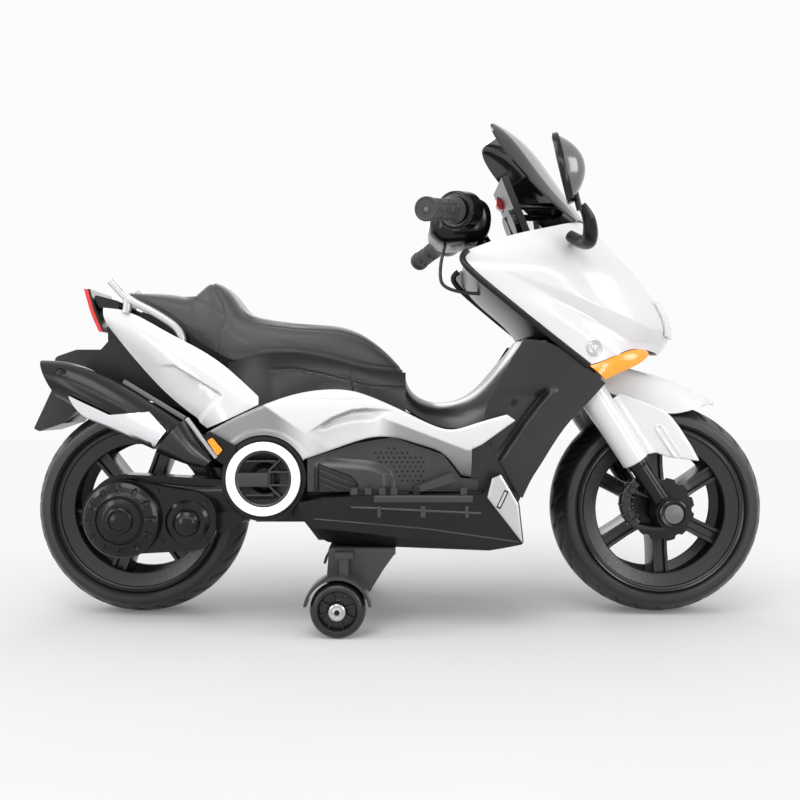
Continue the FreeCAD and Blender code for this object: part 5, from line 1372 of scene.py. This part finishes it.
body = ovals(spline(MUFFLER, 70))
middle = body[0].mean(0)
mouth = np.stack([middle + (body[0] - middle) * 0.8 + (11, 0, -5), middle + (body[0] - middle) * 0.86])
body = np.concatenate([mouth, body])
pipe = carried(rounded(16, 16, 7.9, 8), spline(PIPE, 20), (0, 0, 1))
piece("muffler", [capped(body, ROUND_OFF), pipe], satin_black, "chassis",
      ["exhaust_muffler"], 40)
boot = capped(ovals(spline(BOOT, 30)), ROUND_OFF)
piece("muffler_boot", [boot], soft_black, "chassis", (), 30)
plug_y = float(muffler_side(PLUG_AT[0], PLUG_AT[1], 0))
plug = lathe(PLUG, (PLUG_AT[0], plug_y, PLUG_AT[1]), steps=48)
piece("muffler_plug", [plug], satin_black, "chassis")
piece("muffler_strip", [strip(6, 8, 1.2, TOP_STRIP, 6)], cap_grey, "chassis", (), 25)
piece("boot_strip", [strip(5.5, 8, 1.2, BOOT_STRIP, 6)], body_silver, "chassis", (), 25)

x, z = between_lines(SHIELD_LOW, SHIELD_TOP, np.linspace(-442.9, -314.1, 110), 40)
ridge = FOLD_HIGH * np.maximum(1 - np.abs(beside(x, z, FOLD)) / FOLD_REACH, 0)
side_y = muffler_side(x, z, SHIELD_OFF)
for _ in range(SMOOTHINGS):
    around = side_y[:-2, 1:-1] + side_y[2:, 1:-1] + side_y[1:-1, :-2] + side_y[1:-1, 2:]
    side_y[1:-1, 1:-1] = around / 4
shield = np.stack([x, side_y - ridge, z], -1)
piece("heat_shield", walled(shield, shield + (0, 2.5, 0)), chrome, "chassis",
      ["exhaust_shield"], 18)

# %% [markdown]
# ## Mirrors
# Each mirror is a shell that comes to a soft point in front, like a leaf seen edge on, with the glass set
# into a rim at the back. The outline is a squarish oval, and the whole head leans back and turns a little
# towards the rider.

# %% Mirrors
MIRROR_AT = np.array((213, -172, 618))
LEAN_BACK = math.radians(13.5)
TOE_IN = math.radians(12)
STEM = [(238, -100, 541), (249, -118, 531), (255, -138, 529), (254, -155, 539), (249, -166, 555),
        (239, -171, 571)]
PIN = [(236.5, -172, 563), (230.7, -172, 587.3)]
STEM_GROW = [1.3, 1.4, 1.45, 1.35, 1.15, 0.75]
MIRROR_WIDE, MIRROR_TALL, MIRROR_DEEP = 36, 46, 30
LEAF = [(MIRROR_DEEP * (1 - t**2) ** 0.9, t) for t in np.linspace(0, 1, 30)]
BAND = [(-3.2, 0.93), (-3.6, 0.99), (-2.6, 1.03), (4.5, 1.02), (6, 0.98), (5, 0.92), (-3.2, 0.93)]
RIM = [(-2.6, 1.0), (-3, 0.985), (-3, 0.94), (-1.2, 0.93), (-1.2, 0.0)]
GLASS = [(-1.0, 0), (-1.0, 0.92), (-1.8, 0.92), (-1.8, 0)]


def mirror_form(rows, side):
    """Rows of (forward, share of the outline) as rings about the mirror's middle, on one side."""
    ahead, share = np.array(rows).T[..., None]
    turn = np.linspace(0, 2 * np.pi, 97)
    wide = np.sign(np.cos(turn)) * np.abs(np.cos(turn)) ** 0.85 * MIRROR_WIDE * share
    tall = np.sign(np.sin(turn)) * np.abs(np.sin(turn)) ** 0.92 * MIRROR_TALL * share
    flat = np.broadcast_to(ahead, wide.shape)
    c, s = math.cos(TOE_IN), math.sin(TOE_IN)
    ahead, wide = flat * c + wide * s, wide * c - flat * s
    c, s = math.cos(LEAN_BACK), math.sin(LEAN_BACK)
    grid = np.stack([ahead * c - tall * s, wide, ahead * s + tall * c], -1) + MIRROR_AT
    return grid * (1, side, 1)


for side, name in ((1, "right"), (-1, "left")):
    piece("mirror_shell_" + name, [mirror_form(LEAF + RIM, side)], mirror_grey, "mirror_" + name,
          ["mirror_head_" + name], 40)
    piece("mirror_band_" + name, [mirror_form(BAND, side)], gloss_black, "mirror_" + name,
          (), 50)
    piece("mirror_glass_" + name, [mirror_form(GLASS, side)], looking_glass, "mirror_" + name,
          (), 40)

stem_run = spline(STEM, 40)
stem_grow = np.interp(np.linspace(0, 1, 40), np.linspace(0, 1, 6), STEM_GROW)
stems = carried(rounded(15, 12, 5.5, 8), stem_run, (0.4, 0.3, 1), stem_grow)
pins = carried(rounded(8, 8, 3.9, 6), polyline(PIN, 8), (0, 1, 0))
piece("mirror_arms", both_sides([stems, pins]), gloss_black, "chassis", ["mirror_stems"], 40)

# %% [markdown]
# ## Grips
# The rubber grips flare towards the switch housings and end in a flat disc with a small hole. Long panels
# with a fine cross print run along the palm; they only change the radius by a few tenths.

# %% Grips
ELBOW = steered(0, -62, 512)
BAR_TIP = steered(-74, -225, 524)
BAR_RUN = np.linalg.norm(BAR_TIP - ELBOW)
GRIP = [(76, 9.4), (76, 18.6), (78, 19.4), (82, 18.6), (90, 15.2), (100, 13.6), (130, 13.2), (160, 13.2),
        (170.5, 13.4), (171.2, 15), (172, 15.6), (179, 15.6), (180.4, 14.8), (180.4, 13), (179.9, 12.4),
        (179.9, 6), (180.6, 5.4), (180.6, 3.4), (179.6, 3), (174, 3), (174, 0)]
along = (BAR_TIP - ELBOW) / BAR_RUN
profile = polyline(GRIP, 260)
grip = lathe(profile, ELBOW, along, 180)
turn = np.linspace(0, 2 * np.pi, 181)
s, r = profile[:, 0, None], profile[:, 1, None]
palm = rise(s, 94, 98) * (1 - rise(s, 163, 167)) * (r > 12.5)
panels = rise(np.abs((turn * 8 / np.pi) % 2 - 1), 0.1, 0.25)
cross_print = 0.25 * np.sin(s * 3.0 + turn * 24) * np.sin(s * 3.0 - turn * 24)
lift = palm * (0.9 * panels + cross_print * panels)
axis_points = ELBOW + profile[:, 0, None, None] * along
grip = axis_points + (grip - axis_points) * (1 + lift / np.maximum(r, 1))[..., None]
piece("hand_grips", both_sides([grip]), grip_rubber, "steering", ["grips"], 45)

# %% [markdown]
# ## Hub caps, cowl caps and stabiliser wheels
# Small turned pieces: a grey disc in a black rim on each end of the front axle, a grooved cap on each
# cowl, and the stabiliser wheels with a soft round tread and eight thin ribs.

# %% Hub caps, cowl caps and stabiliser wheels
FRONT_HUB = (FRONT_X, 0, AXLE_Z)
HUB_RIM = [(103.3, 0), (103.3, 20.5), (106.4, 20), (107.6, 18), (107.2, 15), (105, 14.3), (105, 0)]
HUB_DISC = [(104.5, 0), (104.5, 13.6), (106.6, 13.2), (107.4, 11.6), (107.0, 8), (107.4, 7), (107.6, 0)]
COWL_CAP = [(-2, 0), (-2, 11.5), (1.6, 11.2), (2.2, 10.2), (1.2, 8.6), (2.0, 7.4), (1.2, 5.4), (1.8, 4.2),
            (2.0, 0)]
CAP_AT = np.array((268, 385.5))
STAB_AT = np.array((-82, -165, 37))
STAB_HALF = [(17, 5.4), (17, 11), (16, 11.6), (6, 12.4), (5, 14), (5, 23.6), (13, 24.8), (15.4, 26.4),
             (16, 29), (15, 32.4), (12.4, 35.2), (8, 36.6), (3, 37), (0, 37)]
STAB_RIBS = 8
BUSH = [(183, 0), (183, 11), (187.6, 11), (188.8, 9.8), (188.8, 7), (187.9, 6.2), (188.6, 4.4), (188.6, 0)]

piece("hub_rims", both_sides([lathe(HUB_RIM, FRONT_HUB, steps=72)]), gloss_black, "steering",
      ["hub_caps"])
piece("hub_discs", both_sides([lathe(HUB_DISC, FRONT_HUB, steps=72)]), cap_grey, "steering")
nearest = np.argmin(np.hypot(cowl[..., 0] - CAP_AT[0], cowl[..., 2] - CAP_AT[1]))
cap_place, cap_out = cowl.reshape(-1, 3)[nearest], outward(cowl).reshape(-1, 3)[nearest]
piece("cowl_caps", both_sides([lathe(COWL_CAP, cap_place, cap_out, 48)]), body_silver, "chassis")

half = np.array(STAB_HALF)
stab = np.vstack([half, half[-2::-1] * (-1, 1), half[:1]])
for side, name in ((1, "right"), (-1, "left")):
    centre = STAB_AT * (1, side, 1)
    grids = [lathe(stab, centre, steps=96)]
    for spin in np.radians(17 + 360 / STAB_RIBS * np.arange(STAB_RIBS)):
        out = np.array([math.cos(spin), 0, math.sin(spin)])
        grids.append(carried(rounded(1.8, 24, 0.6), centre + np.array([11, 18, 25])[:, None] * out,
                             (0, 1, 0)))
    piece("stabiliser_" + name + "_tread", grids, rim_black, "stabiliser_" + name,
          ["stabiliser_wheel_" + name], 30)
bush = lathe(BUSH, STAB_AT * (1, 0, 1), steps=48)
# Painted shade: a dark disc on each bush face stands for the shade in its bore.
bore_shade = lathe([(188.6, 0), (188.6, 3.6), (188.9, 3.6), (188.9, 0)], STAB_AT * (1, 0, 1), steps=24)
piece("stabiliser_bushes", both_sides([bush]), steel, "chassis")
piece("bolt_dots", both_sides([bore_shade]), grille_black, "chassis")

# %% [markdown]
# ## Tail light, grab rails and swing arm
# The tail light is a thin red lens on a black housing, as wide as the tail. The grab rails are oval bars
# with a foot, a rounded arm joins the drive case to the body, and flat guards close the view above the
# rear tyre.

# %% Tail light, grab rails and swing arm
LENS_REAR = [(-457, 474), (-452, 456), (-446, 437), (-435, 412)]
LENS_DEEP, LAMP_DEEP = 5.5, 9.0
LAMP_HALF = 51
RAIL = [(-413, -67.5, 483), (-404, -67.5, 474), (-394, -67.5, 463), (-364, -67.5, 445), (-331, -67.5, 426),
        (-317, -67.5, 414), (-311, -67.5, 400), (-311, -67.5, 393)]
POST = [(-390, -67.5, 458), (-389, -67.5, 447), (-391, -67.5, 438)]
ARM = [(-372, 186, 10), (-350, 187, 17), (-310, 182, 22), (-270, 177, 27), (-236, 174, 31), (-212, 172, 30)]
ARM_Y, ARM_WIDE = -80, 19
GUARD_LOW = np.array([(-440, 303), (-400, 312), (-360, 312), (-320, 302), (-280, 278), (-250, 245),
                      (-236, 232)])
GUARD_HIGH = np.array([(-440, 380), (-400, 425), (-330, 404), (-236, 350)])


def lamp_layer(front, back):
    """A slab between two depths behind the lens line, right across the tail."""
    line = spline(LENS_REAR, 30)
    y = np.linspace(-LAMP_HALF, LAMP_HALF, 24)
    rows = np.stack(np.broadcast_arrays(line[:, :1], y, line[:, 1:]), -1)
    return walled(rows + (front, 0, 0), rows + (back, 0, 0))


piece("tail_lens", lamp_layer(0, LENS_DEEP), tail_red, "chassis", ["tail_light"], 35)
piece("tail_housing", lamp_layer(LENS_DEEP + 0.2, LAMP_DEEP), satin_black, "chassis", (), 35)
rail = carried(rounded(10.5, 13, 4.2, 7), spline(RAIL, 60), (0, 1, 0))
post = carried(rounded(11, 12, 3.5, 6), spline(POST, 12), (0, 1, 0))
piece("grab_bars", both_sides([rail, post]), body_silver, "chassis", ["grab_rails"], 40)
arm_x, arm_z, arm_half = np.moveaxis(spline(ARM, 50), -1, 0)[..., None]
turn = np.linspace(0, 2 * np.pi, 65)
arm_y = ARM_Y - ARM_WIDE * np.sin(turn)
arm = np.stack(np.broadcast_arrays(arm_x, arm_y, arm_z + arm_half * np.cos(turn)), -1)
piece("swing_arm", [capped(arm, ROUND_OFF)], gloss_black, "chassis", (), 40)
guard = plate(GUARD_LOW, GUARD_HIGH, np.linspace(-440, -236, 60), 20, -46, 2)
piece("inner_guards", both_sides(guard), grille_black, "chassis", (), 40)

# %% [markdown]
# ## Handlebar housing, fork tubes and seat rests
# A rounded housing covers the middle of the handlebar, with a drum for the switches at each side. Thick
# black tubes show below the white fork sleeves, and dark plates close the gap under the rear of the seat.

# %% Handlebar housing, fork tubes and seat rests
HOUSE = np.array([(-337, 556), (-322, 542), (-290, 541), (-258, 547), (-247, 568), (-252, 600),
                  (-290, 612), (-322, 606), (-337, 580), (-337, 556)]) + (FRONT_X, 0)
HOUSE_HALF = 60
DRUM = [(16, 0), (16, 21), (20, 25.5), (24, 26.8), (66, 26.8), (70, 25.8), (72, 23), (72, 19), (68, 17),
        (68, 0)]
TUBE = [(8, 0), (8, 12.8), (76, 12.8), (78, 14.6), (92, 14.6), (92, 0)]
REST_LOW = np.array([(-400, 425), (-352, 402), (-225, 345)])
REST_HIGH = np.array([(-400, 451), (-352, 431), (-225, 390)])

y = np.linspace(-HOUSE_HALF, HOUSE_HALF, 60)
swell = np.maximum(1 - np.abs(y / HOUSE_HALF) ** 6, 0) ** 0.4
loop = spline(HOUSE, 90)
ring = loop.mean(0) + (loop - loop.mean(0)) * np.maximum(swell, 0.3)[:, None, None]
house = np.stack([ring[..., 0], np.broadcast_to(y[:, None], ring.shape[:2]), ring[..., 1]], -1)
drum = lathe(polyline(DRUM, 60), ELBOW, along, 96)
piece("bar_housing", [capped(house)] + both_sides([drum]), gloss_black, "steering",
      ["handlebar_cover"], 40)
tube = lathe(polyline(TUBE, 40), steered(0, LEG_Y, 0), RAKE_UP, 64)
piece("fork_tubes", both_sides([tube]), gloss_black, "steering", (), 40)
rest = plate(REST_LOW, REST_HIGH, np.linspace(-400, -225, 50), 12, -52, PLATE)
piece("seat_rests", both_sides(rest), grille_black, "chassis", (), 40)

# %% [markdown]
# ## Brake caliper
# A curved caliper body grips the brake disc behind the fork. Three arms hold it at the hub, ribs stiffen
# it and two bolts show on its outer face.

# %% Brake caliper
CALIPER_LINE = [(336, 138), (325, 150), (320, 166), (323, 182), (335, 197)]
CALIPER_ARMS = [[(376, 182), (352, 192), (334, 199)], [(378, 130), (352, 131), (330, 136)],
                [(372, 172), (345, 180), (326, 184)]]
CALIPER_Y = -73
CALIPER_MIDDLE = np.array((352, 167))
CALIPER_BOLTS = [(327, 152), (328, 186)]
BOLT = [(70, 0), (70, 5.4), (85.5, 5.4), (86.5, 4.4), (86.5, 0)]
CALIPER_RIBS = 5

line = spline(CALIPER_LINE, 40)
grids = [carried(rounded(17, 18, 5, 6), np.insert(line, 1, CALIPER_Y, 1), (0, 1, 0))]
for index in np.linspace(5, 34, CALIPER_RIBS).astype(int):
    across = line[index] - CALIPER_MIDDLE
    across = across / np.linalg.norm(across)
    ends = [line[index] - across * 10, line[index] + across * 11]
    grids.append(strip(3, 9, 1.2, [(end[0], CALIPER_Y - 6.5, end[1]) for end in ends], 4))
for run in CALIPER_ARMS:
    bend = np.insert(spline(run, 14), 1, CALIPER_Y + 6, 1)
    grids.append(carried(rounded(8, 7, 2.5, 5), bend, (0, 1, 0)))
for x, z in CALIPER_BOLTS:
    grids.append(lathe(BOLT, (x, 0, z), steps=6))
piece("disc_caliper", grids, rim_black, "steering", ["brake_caliper"], 30)

# %% [markdown]
# ## Control cable
# A thin cable hangs from the handlebar housing and goes into the leg shield. Its line is a curve through
# four chosen points; the tube follows the points of that curve.

# %% Control cable
CABLE = [(66, -30, 540), (56, -34, 505), (64, -40, 470), (118, -42, 468)]
CABLE_R = 2.5
line = bpy.data.curves.new("cable_line", "CURVE")
line.dimensions = "3D"
run = line.splines.new("NURBS")
run.points.add(len(CABLE) - 1)
for point, at in zip(run.points, CABLE):
    point.co = (*[c * MM for c in at], 1)
run.order_u = 3
run.use_endpoint_u = True
run.resolution_u = 24
holder = bpy.data.objects.new("cable_line", line)
traced = bpy.data.meshes.new_from_object(holder)
route = np.array([vertex.co for vertex in traced.vertices]) / MM
bpy.data.objects.remove(holder)
cable_length = float(np.linalg.norm(np.diff(route, axis=0), axis=1).sum())
tube = carried(rounded(2 * CABLE_R, 2 * CABLE_R, CABLE_R - 0.02, 6), route, (0, 1, 0))
cable = piece("cable", [tube], grip_rubber, "steering", ["control_cable"], 60)
print("cable length", round(cable_length, 1), "mm")
